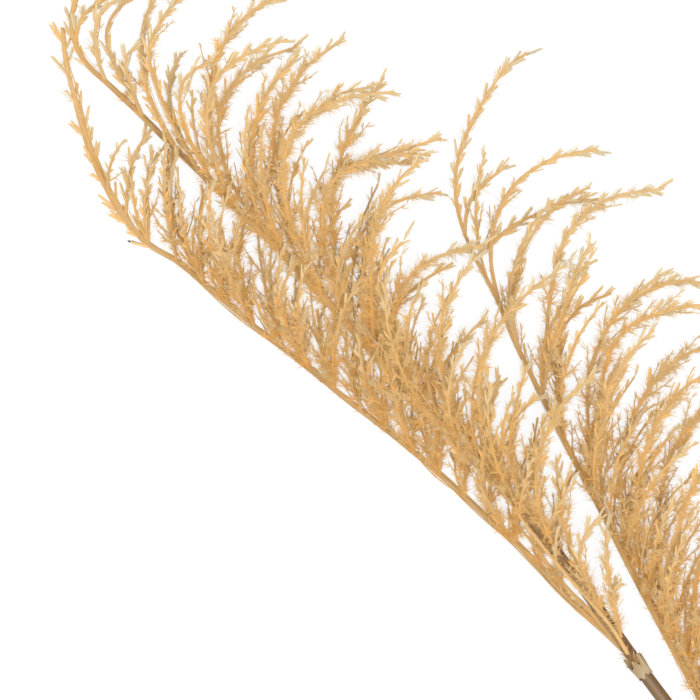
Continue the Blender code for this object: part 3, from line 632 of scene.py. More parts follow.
class Axis:
    """A stalk of a plume: its way, its radii, how brown it is and what grows on it.

    Its bare part is measured from its foot. A stub is how large its tufts are, a tone how pale they
    are, and a zone how far down it comes what belongs to a tip.
    """

    def __init__(self, way, radii, brown=0.0, bare=0.0, stub=1.0, tone=0.5, zone=1.0, lush=1.0):
        self.way = way
        self.radii = radii
        self.marks = (brown, bare, stub, tone, zone)
        self.lush = lush if isinstance(lush, list) else [lush] * len(way)
        self.depth = [0.0] * len(way)


class Plume:
    """The stalks of one plume, laid out as its solid has them, with finer ones on them."""

    def __init__(self, rachis, seed, lushness, cover, tip, sides):
        self.draw = random.Random(seed)
        self.lushness = lushness
        self.cover = cover
        self.tip_zone, self.tip_radius, self.thinning, self.brown = tip
        self.sides = sides
        steps = round(RACHIS_STEPS_PER_POINT * len(rachis))
        self.rachis = smooth_way([on_plan(*point) for point in rachis], steps)
        self.strand = None
        self.boughs = []
        self.low_stalks = ()

    def add_strand(self, points):
        """Add a long branch that has a height of its own at each of its points."""
        self.strand = smooth_way([on_plan(*point) for point in points], STRAND_STEPS)

    def add_branch(self, points, foot_height, tip_height, steps, foot_radius, stub=1.0):
        """Add a branch that climbs or sinks from its foot to its tip as it goes out."""
        way = smooth_way(points, steps)
        for index, place in enumerate(way):
            share = math.sin(math.pi / 2 * index / steps)
            place.z = foot_height + (tip_height - foot_height) * share
            place.z = max(place.z, LOWEST_AXIS)
        self.boughs.append((way, foot_radius, stub))

    def add_branches(self, branches, supports, steps, foot_radius):
        """Add branches, with their feet moved onto the nearest of the supports."""
        places = [place for way in supports for place in way]
        for tip_height, *squares in branches:
            points = [on_plan(across, down, 0) for across, down in squares]
            start = points[0].xy
            foot = min(places, key=lambda place: (place.xy - start).length)
            points[0] = Vector((foot.x, foot.y, 0))
            self.add_branch(points, foot.z, tip_height * MM, steps, foot_radius)

    def add_fillers(self, way, count, stretch, lengths, heights, lean=FILLER_LEAN,
                    bends=FILLER_BEND):
        """Add branches that leave a way forwards and arch over to its right."""
        for number in range(count):
            share = stretch[0] + (stretch[1] - stretch[0]) * (number + 0.5) / count
            index = round(share * (len(way) - 1))
            foot = way[index]
            length = lengths[0] + (lengths[1] - lengths[0]) * math.sin(math.pi * share)
            length *= self.draw.uniform(*FILLER_VARIATION)
            ahead = heading(way, index)
            start = math.atan2(ahead.y, ahead.x) - self.draw.uniform(*lean)
            bend = self.draw.uniform(*bends)
            points = [Vector((foot.x, foot.y, 0))]
            for point in range(FILLER_POINTS):
                turn = start - bend * (point + 0.5) / FILLER_POINTS
                reach = Vector((math.cos(turn), math.sin(turn), 0)) * length / FILLER_POINTS
                points.append(points[-1] + reach)
            high = heights[0] + (heights[1] - heights[0]) * (number * GOLDEN_SHARE % 1)
            self.add_branch(points, foot.z, high, FILLER_STEPS, BOUGH_FOOT_RADIUS, FILLER_STUB)

    def lush_at(self, place):
        """How lush the plume is where a stalk leaves it."""
        marks = range(len(self.rachis))
        nearest = min(marks, key=lambda mark: (self.rachis[mark] - place).length)
        share = nearest / (len(self.rachis) - 1)
        return float(numpy.interp(share, *zip(*self.lushness)))

    def stalks(self):
        """Every stalk by its kind: the main axis, the long strand, branches and branchlets."""
        kinds = {"main": [], "strand": [], "boughs": [], "branchlets": [], "low": []}
        self.grow_main(kinds)
        if self.strand:
            self.grow_strand(kinds)
        for bough in self.boughs:
            self.grow_bough(kinds, *bough)
        for points in self.low_stalks:
            way = smooth_way([on_plan(*point) for point in points],
                             LOW_STALK_STEPS_PER_POINT * len(points))
            kinds["low"].append(Axis(way, tapered(*LOW_STALK_RADII, len(way)), LOW_STALK_BROWN))
        return kinds

    def grow_main(self, kinds):
        way = smooth_way(self.rachis, MAIN_REFINING * len(self.rachis))
        radii = [self.tip_radius + (RACHIS_FOOT_RADIUS - self.tip_radius) * left ** self.thinning
                 for left in tapered(1.0, 0.0, len(way))]
        lush = [float(numpy.interp(index / (len(way) - 1), *zip(*self.cover)))
                for index in range(len(way))]
        kinds["main"].append(Axis(way, radii, self.brown, tone=MAIN_TONE, zone=self.tip_zone,
                                  lush=lush))
        kinds["branchlets"] += self.bearing(way, MAIN_BEARING, self.sides)

    def grow_strand(self, kinds):
        way = smooth_way(self.strand, STRAND_REFINING * len(self.strand))
        radii = tapered(STRAND_RADIUS * STRAND_THINNING, STRAND_TIP_RADIUS, len(way))
        kinds["strand"].append(Axis(way, radii, STRAND_BROWN, STRAND_BARE, STRAND_STUB,
                                    zone=STRAND_ZONE))
        kinds["branchlets"] += self.bearing(way, STRAND_BEARING, ONE_SIDE)

    def grow_bough(self, kinds, coarse, foot_radius, stub):
        length = way_length(coarse)
        way = smooth_way(coarse, max(LEAST_STEPS, round(length / AXIS_STEP)))
        lush = self.lush_at(way[0])
        slight = BOUGH_THINNING * (1 - LUSH_SLIGHT * lush)
        radii = tapered(foot_radius * slight * stub, BOUGH_TIP_RADIUS * TIP_THINNING * stub,
                        len(way))
        tone = self.draw.random()
        zone = (SPARSE_ZONE + (1 - SPARSE_ZONE) * lush) * stub
        fading = [lush * min(1.0, (1 - index / (len(way) - 1)) * length / LUSH_FADE)
                  for index in range(len(way))]
        kinds["boughs"].append(Axis(way, radii, BOUGH_BROWN, length * BARE_SHARE, stub, tone, zone,
                                    fading))
        kinds["branchlets"] += self.branchlets(way, length * BARE_SHARE, lush, BOTH_SIDES)

    def bearing(self, way, part, sides):
        """Branchlets on the part of a long way that bears them."""
        share, bare, lush = part
        return self.branchlets(way[:round(len(way) * share)], way_length(way) * bare, lush, sides)

    def branchlets(self, way, bare, lush, sides):
        """Thin side stalks on the part of a branch between its bare foot and its tip."""
        length = way_length(way)
        stretch = length - BRANCHLET_TIP_ZONE - bare
        found = []
        first = self.draw.choice((0, 1))
        for number in range(max(0, round(stretch / BRANCHLET_SPACING))):
            mark = number + self.draw.uniform(*BRANCHLET_PLACES)
            share = (bare + mark * BRANCHLET_SPACING) / length
            index = min(round(share * (len(way) - 1)), len(way) - 1)
            side = sides[(number + first) % 2]
            if self.draw.random() > LEAST_BRANCHLETS + (1 - LEAST_BRANCHLETS) * lush:
                continue
            tilt = math.radians(self.draw.uniform(-BRANCHLET_TILT, BRANCHLET_TILT)) + math.pi * side
            spread = math.radians(self.draw.uniform(*BRANCHLET_SPREADS))
            reach = self.draw.uniform(*BRANCHLET_LENGTHS) * (1 - BRANCHLET_SHORTENING * share)
            ahead = heading(way, index)
            place = way[index].copy()
            places = [place]
            for step in range(BRANCHLET_STEPS):
                turn = spread * (1 - BRANCHLET_UNBENDING * step / BRANCHLET_STEPS)
                place = place + swept_aside(ahead, tilt, turn) * reach / BRANCHLET_STEPS
                place.z = max(place.z, LOWEST_AXIS)
                places.append(place)
            radii = tapered(BRANCHLET_RADIUS, BRANCHLET_TIP_RADIUS, len(places))
            tone = self.draw.random()
            found.append(Axis(places, radii, BRANCHLET_BROWN, reach * BRANCHLET_BARE,
                              BRANCHLET_STUB, tone, lush=lush))
        return found


def sunk(axes, crowd):
    """Mark how deep each place of the stalks lies under a crowd, which also paints shade on hairs.
    """
    above = numpy.array([place for axis in crowd for place in axis.way])
    for axis in axes:
        places = numpy.array(axis.way)
        away = ((places[:, None, :2] - above[None, :, :2]) ** 2).sum(2)
        over = (away < DEPTH_REACH ** 2) & (above[None, :, 2] > places[:, None, 2] + DEPTH_STEP)
        axis.depth = [float(depth) for depth in 1 - numpy.exp(-over.sum(1) / DEPTH_CROWD)]


def fibres(axes, draw, density=FIBRES_PER_LENGTH, thickness=FIBRE_RADIUS):
    """Thin strands that run along the stalks and stand a little off them."""
    found = []
    for axis in axes:
        length = way_length(axis.way)
        if length < FIBRE_LEAST_AXIS:
            continue
        for number in range(round(length * density)):
            reach = min(draw.uniform(*FIBRE_LENGTHS), length * FIBRE_LONGEST_SHARE)
            start = draw.uniform(0, length - reach) / length
            end = start + reach / length
            steps = max(FIBRE_LEAST_STEPS, round(reach / FIBRE_STEP))
            turn, twist = draw.uniform(0, 2 * math.pi), draw.uniform(-FIBRE_TWIST, FIBRE_TWIST)
            lift = draw.uniform(*FIBRE_LIFTS)
            places = []
            for step in range(steps + 1):
                share = start + (end - start) * step / steps
                index = share * (len(axis.way) - 1)
                low = min(int(index), len(axis.way) - 2)
                place = axis.way[low].lerp(axis.way[low + 1], index - low)
                away = axis.radii[low] * (FIBRE_SUNK + lift * math.sin(math.pi * step / steps))
                place = place + swept_aside(heading(axis.way, low), turn + twist * step / steps,
                                            math.pi / 2) * away
                place.z = max(place.z, LOWEST_AXIS / 2)
                places.append(place)
            fullness = [math.sin(math.pi * (step + 0.5) / (steps + 1)) for step in range(steps + 1)]
            radii = [thickness * (FIBRE_END_SHARE + (1 - FIBRE_END_SHARE) * full)
                     for full in fullness]
            found.append(Axis(places, radii, axis.marks[0] * FIBRE_BROWN_SHARE,
                              tone=draw.random()))
    return found


class Value:
    """A socket that takes part in expressions, each of which adds its Math nodes."""

    def __init__(self, net, socket):
        self.net = net
        self.socket = socket

    def __add__(self, other):
        return self.net.maths("ADD", self, other)

    def __sub__(self, other):
        return self.net.maths("SUBTRACT", self, other)

    def __rsub__(self, other):
        return self.net.maths("SUBTRACT", other, self)

    def __mul__(self, other):
        return self.net.maths("MULTIPLY", self, other)

    def __truediv__(self, other):
        return self.net.maths("DIVIDE", self, other)

    def __mod__(self, other):
        return self.net.maths("MODULO", self, other)

    def __gt__(self, other):
        return self.net.maths("GREATER_THAN", self, other)

    def __lt__(self, other):
        return self.net.maths("LESS_THAN", self, other)

    __radd__ = __add__
    __rmul__ = __mul__


class Net:
    """A tree of nodes that is written as calls."""

    def __init__(self, tree):
        self.tree = tree

    def node(self, kind, settings=None, inputs=None):
        """Add a node with its settings first, then the values or links of its sockets."""
        made = self.tree.nodes.new(kind)
        for setting, value in (settings or {}).items():
            if setting == "stops":
                self.set_stops(made.color_ramp, value)
            else:
                setattr(made, setting, value)
        for name, value in (inputs or {}).items():
            socket = self.pick(made.inputs, name)
            if isinstance(value, Value):
                self.tree.links.new(value.socket, socket)
            else:
                socket.default_value = value
        return Made(self, made)

    def maths(self, operation, *terms):
        return self.node("ShaderNodeMath", {"operation": operation}, dict(enumerate(terms)))[0]

    def scaled(self, vector, scale):
        return self.node("ShaderNodeVectorMath", {"operation": "SCALE"},
                         {"Vector": vector, "Scale": scale})["Vector"]

    def pick(self, sockets, name):
        if isinstance(name, int):
            return sockets[name]
        return next(socket for socket in sockets if socket.name == name and socket.enabled)

    def set_stops(self, ramp, stops):
        while len(ramp.elements) > 1:
            ramp.elements.remove(ramp.elements[0])
        for number, (place, colour) in enumerate(stops):
            stop = ramp.elements[0] if number == 0 else ramp.elements.new(place)
            stop.position = place
            stop.color = (*colour, 1.0)


class Made:
    """A node that has been made, whose outputs are read by name or number."""

    def __init__(self, net, node):
        self.net = net
        self.node = node

    def __getitem__(self, name):
        return Value(self.net, self.net.pick(self.node.outputs, name))


class Growth(Net):
    """A Geometry Nodes tree with named inputs."""

    def __init__(self, name):
        super().__init__(bpy.data.node_groups.new(name, "GeometryNodeTree"))
        for direction in ("INPUT", "OUTPUT"):
            self.tree.interface.new_socket("Geometry", in_out=direction,
                                           socket_type="NodeSocketGeometry")
        self.entry = self.node("NodeGroupInput")

    def input(self, name, kind="Float"):
        self.tree.interface.new_socket(name, in_out="INPUT", socket_type="NodeSocket" + kind)
        return self.entry[name]

    def attribute(self, name):
        return self.node("GeometryNodeInputNamedAttribute", {"data_type": "FLOAT"},
                         {"Name": name})["Attribute"]

    def stored(self, geometry, name, value, domain="POINT", kind="FLOAT"):
        return self.node("GeometryNodeStoreNamedAttribute", {"data_type": kind, "domain": domain},
                         {"Geometry": geometry, "Name": name, "Value": value})["Geometry"]

    def position(self):
        return self.node("GeometryNodeInputPosition")["Position"]

    def curves(self):
        """The edges of the skeleton as curves."""
        return self.node("GeometryNodeMeshToCurve", None,
                         {"Mesh": self.entry["Geometry"]})["Curve"]

    def circle(self, sides):
        return self.node("GeometryNodeCurvePrimitiveCircle", {"mode": "RADIUS"},
                         {"Resolution": sides, "Radius": 1.0})["Curve"]

    def rods(self, curve, ring):
        """Closed bodies along curves, with a ring that is scaled to the radius."""
        return self.node("GeometryNodeCurveToMesh", None, {
            "Curve": curve, "Profile Curve": ring, "Scale": self.attribute("radius"),
            "Fill Caps": True,
        })["Mesh"]

    def random(self, least, greatest, seed):
        return self.node("FunctionNodeRandomValue", {"data_type": "FLOAT"},
                         {"Min": least, "Max": greatest, "Seed": seed})["Value"]

    def turned(self, rotation, axis, angle):
        turn = self.node("FunctionNodeAxisAngleToRotation", None,
                         {"Axis": axis, "Angle": angle})["Rotation"]
        return self.node("FunctionNodeRotateRotation", {"rotation_space": "LOCAL"},
                         {"Rotation": rotation, "Rotate By": turn})["Rotation"]

    def end(self, geometry):
        """Realize what was grown, give it the material and hand it over."""
        grown = self.node("GeometryNodeRealizeInstances", None, {"Geometry": geometry})["Geometry"]
        grown = self.node("GeometryNodeSetShadeSmooth", None,
                          {"Geometry": grown, "Shade Smooth": True})["Geometry"]
        grown = self.node("GeometryNodeSetMaterial", None,
                          {"Geometry": grown, "Material": self.input("Material", "Material")})
        self.node("NodeGroupOutput", None, {"Geometry": grown["Geometry"]})
        return self.tree


def rod_tree():
    """Round stalks along the edges of a skeleton, each as thick as its radius says."""
    net = Growth("round_stalks")
    sides = net.input("Sides", "Int")
    ring = net.stored(net.circle(sides), "ring", net.position(), kind="FLOAT_VECTOR")
    return net.end(net.rods(net.curves(), ring))


def twine_tree():
    """Plies that wind round each other along the edges of a skeleton."""
    net = Growth("twisted_plies")
    plies = net.input("Plies", "Int")
    depth = net.input("Groove Depth")
    lay = net.input("Lay Length")
    turn = net.attribute("from_foot") / lay * (2 * math.pi)
    curve = net.node("GeometryNodeSetCurveTilt", None, {"Curve": net.curves(), "Tilt": turn})
    around = net.node("GeometryNodeSplineParameter")["Factor"] * math.pi * plies
    crown = net.maths("ABSOLUTE", net.maths("SINE", around))
    place = net.scaled(net.position(), 1 - depth + depth * crown)
    ring = net.node("GeometryNodeSetPosition", None,
                    {"Geometry": net.circle(TWINE_SIDES), "Position": place})["Geometry"]
    # How high a place is on its ply, which the twine's look uses for painted shade in the grooves
    ring = net.stored(ring, "crown", crown)
    ring = net.stored(ring, "ring", place, kind="FLOAT_VECTOR")
    return net.end(net.rods(curve["Curve"], ring))


def dressing_tree():
    """Tufts that leave the stalks of a skeleton forwards, to both sides or all round."""
    net = Growth("tufts_on_stalks")
    tufts = net.input("Tufts", "Collection")
    spacing = net.input("Spacing")
    nearest = net.input("Nearest To Tip")
    farthest = net.input("Farthest From Tip")
    bare = net.input("Bare Foot")
    sparing = net.input("Sparing")
    crowding = net.input("Crowding")
    least_spread = net.input("Least Spread")
    greatest_spread = net.input("Greatest Spread")
    tilt = net.input("Greatest Tilt")
    smallest = net.input("Smallest")
    largest = net.input("Largest")
    seed = net.input("Seed", "Int")
    points = net.node("GeometryNodeCurveToPoints", {"mode": "LENGTH"},
                      {"Curve": net.curves(), "Length": spacing})
    ahead = points["Tangent"]
    across = net.node("ShaderNodeVectorMath", {"operation": "CROSS_PRODUCT"},
                      {0: ahead, 1: (0.0, 0.0, 1.0)})["Vector"]
    base = net.node("FunctionNodeAxesToRotation", {"primary_axis": "Z", "secondary_axis": "X"},
                    {"Primary Axis": ahead, "Secondary Axis": across})["Rotation"]
    side = net.node("GeometryNodeInputIndex")["Index"] % 2 * math.pi
    roll = side + net.random(-1.0, 1.0, seed) * tilt
    wild = net.attribute("lush") * (1 - TAMEST) + TAMEST
    spread = net.random(0.0, 1.0, seed + 1) * (greatest_spread - least_spread) * wild + least_spread
    rotation = net.turned(base, (0.0, 0.0, 1.0), roll)
    rotation = net.turned(rotation, (0.0, 1.0, 0.0), spread)
    from_tip = net.attribute("from_tip") / net.attribute("zone")
    near = (from_tip > nearest) * (from_tip < farthest)
    clear = net.attribute("from_foot") > bare * net.attribute("bare")
    likely = 1 - sparing * (1 - net.attribute("lush"))
    likely = likely * (1 - crowding * net.attribute("lush"))
    likely = likely * (1 - net.attribute("depth") * DEPTH_THINNING)
    chosen = near * clear * (net.random(0.0, 1.0, seed + 2) < likely)
    size = net.random(0.0, 1.0, seed + 3) * (largest - smallest) + smallest
    size = size * net.attribute("stub")
    kinds = net.node("GeometryNodeCollectionInfo", None, {
        "Collection": tufts, "Separate Children": True, "Reset Children": True,
    })["Instances"]
    choice = net.node("FunctionNodeRandomValue", {"data_type": "INT"},
                      {"Min": 0, "Max": TUFT_KINDS - 1, "Seed": seed + 4})["Value"]
    grown = net.node("GeometryNodeInstanceOnPoints", None, {
        "Points": points["Points"], "Selection": chosen, "Instance": kinds,
        "Pick Instance": True, "Instance Index": choice, "Rotation": rotation, "Scale": size,
    })["Instances"]
    grown = net.stored(grown, "tone", net.random(0.0, 1.0, seed + 5), domain="INSTANCE")
    return net.end(grown)


def skeleton(name, axes):
    """A mesh of edges along the stalks, with what the trees read at each of its corners."""
    mesh = bpy.data.meshes.new(name)
    corners, edges, values = [], [], []
    for axis in axes:
        total = way_length(axis.way)
        gone = 0.0
        for index, (place, radius) in enumerate(zip(axis.way, axis.radii)):
            if index:
                gone += (place - axis.way[index - 1]).length
                edges.append((len(corners) - 1, len(corners)))
            corners.append(place)
            values.append((radius, gone, total - gone) + axis.marks
                          + (axis.lush[index], axis.depth[index]))
    mesh.from_pydata(corners, edges, [])
    names = ("radius", "from_foot", "from_tip", "brown", "bare", "stub", "tone", "zone", "lush",
             "depth")
    for label, column in zip(names, numpy.array(values, numpy.float32).T):
        mesh.attributes.new(label, "FLOAT", "POINT").data.foreach_set("value", column.copy())
    return mesh


def placed(name, data):
    """A new object of the scene."""
    made = bpy.data.objects.new(name, data)
    bpy.context.scene.collection.objects.link(made)
    return made


def mesh_from(name, shape, flat=False):
    """The mesh that a shape leaves, with its faces turned outwards unless it is flat."""
    if not flat:
        bmesh.ops.recalc_face_normals(shape, faces=shape.faces)
    mesh = bpy.data.meshes.new(name)
    shape.to_mesh(mesh)
    shape.free()
    return mesh


def grown(name, source, tree, **inputs):
    """Let a tree grow on a skeleton and keep the result as a plain mesh."""
    piece = placed(name, source)
    change = piece.modifiers.new("growth", "NODES")
    change.node_group = tree
    sockets = {item.name: item.identifier for item in tree.interface.items_tree
               if item.in_out == "INPUT"}
    for label, value in inputs.items():
        change[sockets[label.replace("_", " ").title()]] = value
    graph = bpy.context.evaluated_depsgraph_get()
    mesh = bpy.data.meshes.new_from_object(
        piece.evaluated_get(graph), preserve_all_data_layers=True, depsgraph=graph)
    piece.modifiers.clear()
    piece.data = mesh
    mesh.name = name
    return piece


def settled(piece):
    """Press a piece onto the surface and keep it under the height of the solid."""
    mesh = piece.data
    places = numpy.empty(len(mesh.vertices) * 3, numpy.float32)
    mesh.vertices.foreach_get("co", places)
    high = places[2::3]
    high[high > SOFT_TOP] = SOFT_TOP + (high[high > SOFT_TOP] - SOFT_TOP) * TOP_PRESS
    places[2::3] = numpy.maximum(high, FLOOR_GAP)
    mesh.vertices.foreach_set("co", places)
    mesh.update()
    return piece


def lit_softly(piece, lift):
    """Lean a piece's normals upwards, so that light falls as evenly on it as on down."""
    mesh = piece.data
    normals = numpy.empty(len(mesh.vertices) * 3, numpy.float32)
    mesh.vertex_normals.foreach_get("vector", normals)
    normals = normals.reshape(-1, 3) * (1 - lift)
    normals[:, 2] += lift
    normals /= numpy.linalg.norm(normals, axis=1)[:, None]
    mesh.normals_split_custom_set_from_vertices(normals)


def hair_mesh(name, hairs):
    """One mesh of closed hairs, each as its places and the radii of the last ones but the tip."""
    shape = bmesh.new()
    share = shape.verts.layers.float.new("along")
    for places, radii in hairs:
        ring = None
        first = len(places) - 1 - len(radii)
        if first:
            foot = shape.verts.new(places[0])
            foot[share] = 0.0
        for index, radius in enumerate(radii, start=first):
            ahead = (places[index + 1] - places[max(index - 1, 0)]).normalized()
            sideways = ahead.orthogonal().normalized()
            corners = []
            for corner in range(HAIR_SIDES):
                turn = Matrix.Rotation(2 * math.pi * corner / HAIR_SIDES, 3, ahead)
                vertex = shape.verts.new(places[index] + turn @ sideways * radius)
                vertex[share] = index / (len(places) - 1)
                corners.append(vertex)
            if ring is None and not first:
                shape.faces.new(corners)
            for corner in range(HAIR_SIDES):
                following = (corner + 1) % HAIR_SIDES
                if ring is not None:
                    shape.faces.new((ring[corner], ring[following], corners[following],
                                     corners[corner]))
                elif first:
                    shape.faces.new((foot, corners[following], corners[corner]))
            ring = corners
        tip = shape.verts.new(places[-1])
        tip[share] = 1.0
        for corner in range(HAIR_SIDES):
            shape.faces.new((ring[corner], ring[(corner + 1) % HAIR_SIDES], tip))
    return mesh_from(name, shape)


def bent_hair(draw, length, spread, radius, rings, start, beside):
    """A hair that starts beside the Z axis, leaves it and bends on outwards."""
    turn = draw.uniform(0, 2 * math.pi)
    lean = math.radians(draw.uniform(*HAIR_LEANS) * spread)
    outward = Vector((math.cos(turn), math.sin(turn), 0))
    foot = outward * beside + Vector((0, 0, start))
    places = []
    for share in HAIR_MARKS[rings]:
        angle = lean * (1 + HAIR_CURL * share)
        aim = Vector((0, 0, 1)) * math.cos(angle) + outward * math.sin(angle)
        places.append(foot + aim * length * share)
    count = max(1, rings)
    return places, [radius * (1 - HAIR_THINNING * ring / count) for ring in range(count)]


def tuft_kinds(name, material, seed, bundles):
    """A collection of tufts that differ, each of bundles of hairs that part as they go out."""
    draw = random.Random(seed)
    kinds = bpy.data.collections.new(name)
    for number in range(TUFT_KINDS):
        hairs = []
        for count, length, spread, radius, rings, start, beside in bundles:
            for hair in range(count):
                reach = length * MM * draw.uniform(*HAIR_LENGTH_SHARES)
                begin = start * MM * draw.uniform(*HAIR_START_SHARES)
                hairs.append(bent_hair(draw, reach, spread, radius * MM, rings, begin,
                                       beside * MM))
        label = f"{name}_{number}"
        mesh = hair_mesh(label, hairs)
        mesh.materials.append(material)
        kinds.objects.link(bpy.data.objects.new(label, mesh))
    return kinds


class Look(Net):
    """The nodes of a material around its Principled shader."""

    def __init__(self, name, **constants):
        self.material = bpy.data.materials.new(name)
        self.material.use_nodes = True
        super().__init__(self.material.node_tree)
        self.shader = self.tree.nodes["Principled BSDF"]
        for label, value in constants.items():
            socket = label.replace("_", " ").title().replace("Ior", "IOR")
            self.shader.inputs[socket].default_value = value
        self.place = self.node("ShaderNodeTexCoord")["Object"]

    def attribute(self, name, output="Fac"):
        return self.node("ShaderNodeAttribute", {"attribute_name": name})[output]

    def noise(self, scale, detail, place=None, roughness=0.55):
        return self.node("ShaderNodeTexNoise", None, {
            "Vector": place or self.place, "Scale": scale, "Detail": detail,
            "Roughness": roughness,
        })["Fac"]

    def ramp(self, value, stops):
        return self.node("ShaderNodeValToRGB", {"stops": stops}, {"Fac": value})["Color"]

    def mix(self, share, low, high):
        ends = [colour if isinstance(colour, Value) else (*colour, 1.0) for colour in (low, high)]
        return self.node("ShaderNodeMix", {"data_type": "RGBA"},
                         {"Factor": share, "A": ends[0], "B": ends[1]})["Result"]

    def clamped(self, value):
        return self.node("ShaderNodeClamp", None, {"Value": value})["Result"]

    def grain(self, across, along, detail=3.0, roughness=0.55):
        """Streaks that follow a stalk, whatever way it goes."""
        ring = self.scaled(self.attribute("ring", "Vector"), across)
        run = self.attribute("from_foot") * along
        offset = self.node("ShaderNodeCombineXYZ", None, {"Z": run})["Vector"]
        place = self.node("ShaderNodeVectorMath", {"operation": "ADD"},
                          {0: ring, 1: offset})["Vector"]
        return self.noise(1.0, detail, place, roughness)

    def end(self, colour, grain=None, relief=None, rough=None):
        """Colour the shader, and let a grain raise its surface and roughen it."""
        self.tree.links.new(colour.socket, self.shader.inputs["Base Color"])
        if rough:
            roughness = grain * rough[0] + rough[1]
            self.tree.links.new(roughness.socket, self.shader.inputs["Roughness"])
        if relief:
            bump = self.node("ShaderNodeBump", None, {
                "Height": grain, "Distance": relief[0], "Strength": relief[1]})["Normal"]
            self.tree.links.new(bump.socket, self.shader.inputs["Normal"])
        return self.material


def weighed(shares, first, *others):
    """Add up values, each times its share."""
    total = first * shares[0]
    for share, value in zip(shares[1:], others):
        total = total + value * share
    return total


def hair_look():
    """Golden hairs, paler towards their ends and the ends of the branches, with painted shade deep
    in.
    """
    look = Look("dried_plume_hairs", roughness=0.7, specular_ior_level=0.15)
    reach = look.attribute("zone") * HAIR_PALE_ZONE
    near_tip = look.clamped(1 - look.attribute("from_tip") / reach)
    near_tip = near_tip * (1 - look.attribute("lush") * HAIR_LUSH_SHARE)
    level = weighed(HAIR_SHARES, look.attribute("tone"), look.attribute("along"), near_tip,
                    look.noise(*HAIR_SPECKLE))
    # Hairs whose stalk lies deep under others are painted darker, towards DEEP_GOLD: painted shade
    level = level + HAIR_LEAST - look.attribute("depth") * HAIR_PAINTED_SHADE_SHARE
    return look.end(look.ramp(level, HAIR_STOPS))


def stalk_look():
    """Golden stalks with lengthwise streaks, and brown patches where they are brown."""
    look = Look("dried_plume_stalks", roughness=0.5, specular_ior_level=0.2)
    streaks = look.grain(*STALK_GRAIN)
    level = weighed(STALK_SHARES, streaks, look.attribute("tone"), look.noise(*STALK_SPECKLE))
    gold = look.ramp(level, STALK_STOPS)
    brown = look.ramp(look.grain(*PATCH_GRAIN), PATCH_STOPS)
    fade = look.clamped(look.attribute("from_tip") / BROWN_FADE_ZONE)
    fade = fade * (1 - look.attribute("lush") * BROWN_LUSH_SHARE)
    share = look.attribute("brown") * fade * (look.grain(*BROWN_GRAIN) * BROWN_GAIN)
    colour = look.mix(look.clamped(share), gold, brown)
    return look.end(colour, streaks, STALK_RELIEF, STALK_ROUGH)


def stem_look():
    """Taupe culm with fine lengthwise streaks, dark at its rings, with painted shade down its pipe.
    """
    look = Look("dried_stem_bark", roughness=0.42)
    streaks = look.grain(*STEM_GRAIN)
    level = weighed(STEM_SHARES, streaks, look.grain(*STEM_BROAD_GRAIN))
    # The brown attribute darkens the rings, and paints shade down the pipe of the cut end
    ring = look.clamped(look.attribute("brown"))
    colour = look.mix(ring, look.ramp(level, STEM_STOPS), DARK_TAUPE)
    return look.end(colour, streaks, STEM_RELIEF, STEM_ROUGH)


def sheath_look():
    """Papery grey-cream sheath with fine veins."""
    look = Look("dry_sheath_paper", roughness=0.7)
    veins = look.grain(*SHEATH_VEINS)
    level = weighed(SHEATH_SHARES, veins, look.noise(*SHEATH_SPECKLE))
    return look.end(look.ramp(level, SHEATH_STOPS), veins, SHEATH_RELIEF, SHEATH_ROUGH)


def twine_look():
    """Jute twine, with painted shade in the grooves between its plies."""
    look = Look("jute_twine_plies", roughness=0.9)
    threads = look.grain(*TWINE_THREADS)
    # Places low on a ply, in the grooves between plies, are painted darker: painted shade
    level = weighed(TWINE_SHARES, look.attribute("crown"), threads)
    return look.end(look.ramp(level, TWINE_STOPS), threads, TWINE_RELIEF)


def round_both_stems(turns, half_width, bend):
    """Place on a way round two stems side by side, as across and up, from the middle on top."""
    arc = math.pi * bend
    reach = turns % 1.0 * 2 * (2 * half_width + arc)
    if reach <= half_width:
        return reach, bend
    reach -= half_width
    if reach <= arc:
        return half_width + bend * math.sin(reach / bend), bend * math.cos(reach / bend)
    reach -= arc
    if reach <= 2 * half_width:
        return half_width - reach, -bend
    reach -= 2 * half_width
    if reach <= arc:
        return -half_width - bend * math.sin(reach / bend), -bend * math.cos(reach / bend)
    return reach - arc - half_width, bend


def twine_axes(place, along, across):
    """The ways of the turns, the knot and the two ends of the twine."""
    upward = Vector((0, 0, 1))
    half_width = STEM_TIE_RADIUS + GAP / 2
    bend = STEM_TIE_RADIUS + GAP + TWINE_RADIUS
    way = []
    for point in range(TWINE_TURNS * TWINE_POINTS_PER_TURN + 1):
        turns = point / TWINE_POINTS_PER_TURN
        side, high = round_both_stems(turns, half_width, bend)
        onward = TWINE_PITCH * (turns - TWINE_TURNS / 2)
        way.append(place + across * side + upward * high + along * onward)
    knot = place + upward * (bend + KNOT_HEIGHT)
    slope = along * KNOT_TILT[0] + upward * KNOT_TILT[1]
    loop = []
    for point in range(KNOT_POINTS + 1):
        turn = 2 * math.pi * KNOT_TURNS * point / KNOT_POINTS
        loop.append(knot + (across * math.cos(turn) + slope * math.sin(turn)) * KNOT_RING_RADIUS)
    ways = [way, loop]
    for start, (side, forward) in zip((way[-1], way[0]), TWINE_END_AIMS):
        aim = (across * side + along * forward).normalized()
        ways.append(smooth_way([
            start - aim * TWINE_RADIUS,
            knot + upward * TWINE_RADIUS / 2,
            knot + aim * TWINE_END_LENGTH / 2 + upward * TWINE_RADIUS / 4,
            knot + aim * TWINE_END_LENGTH - upward * TWINE_END_DROP,
        ], TWINE_END_STEPS))
    return [Axis(way, [TWINE_RADIUS] * len(way)) for way in ways]


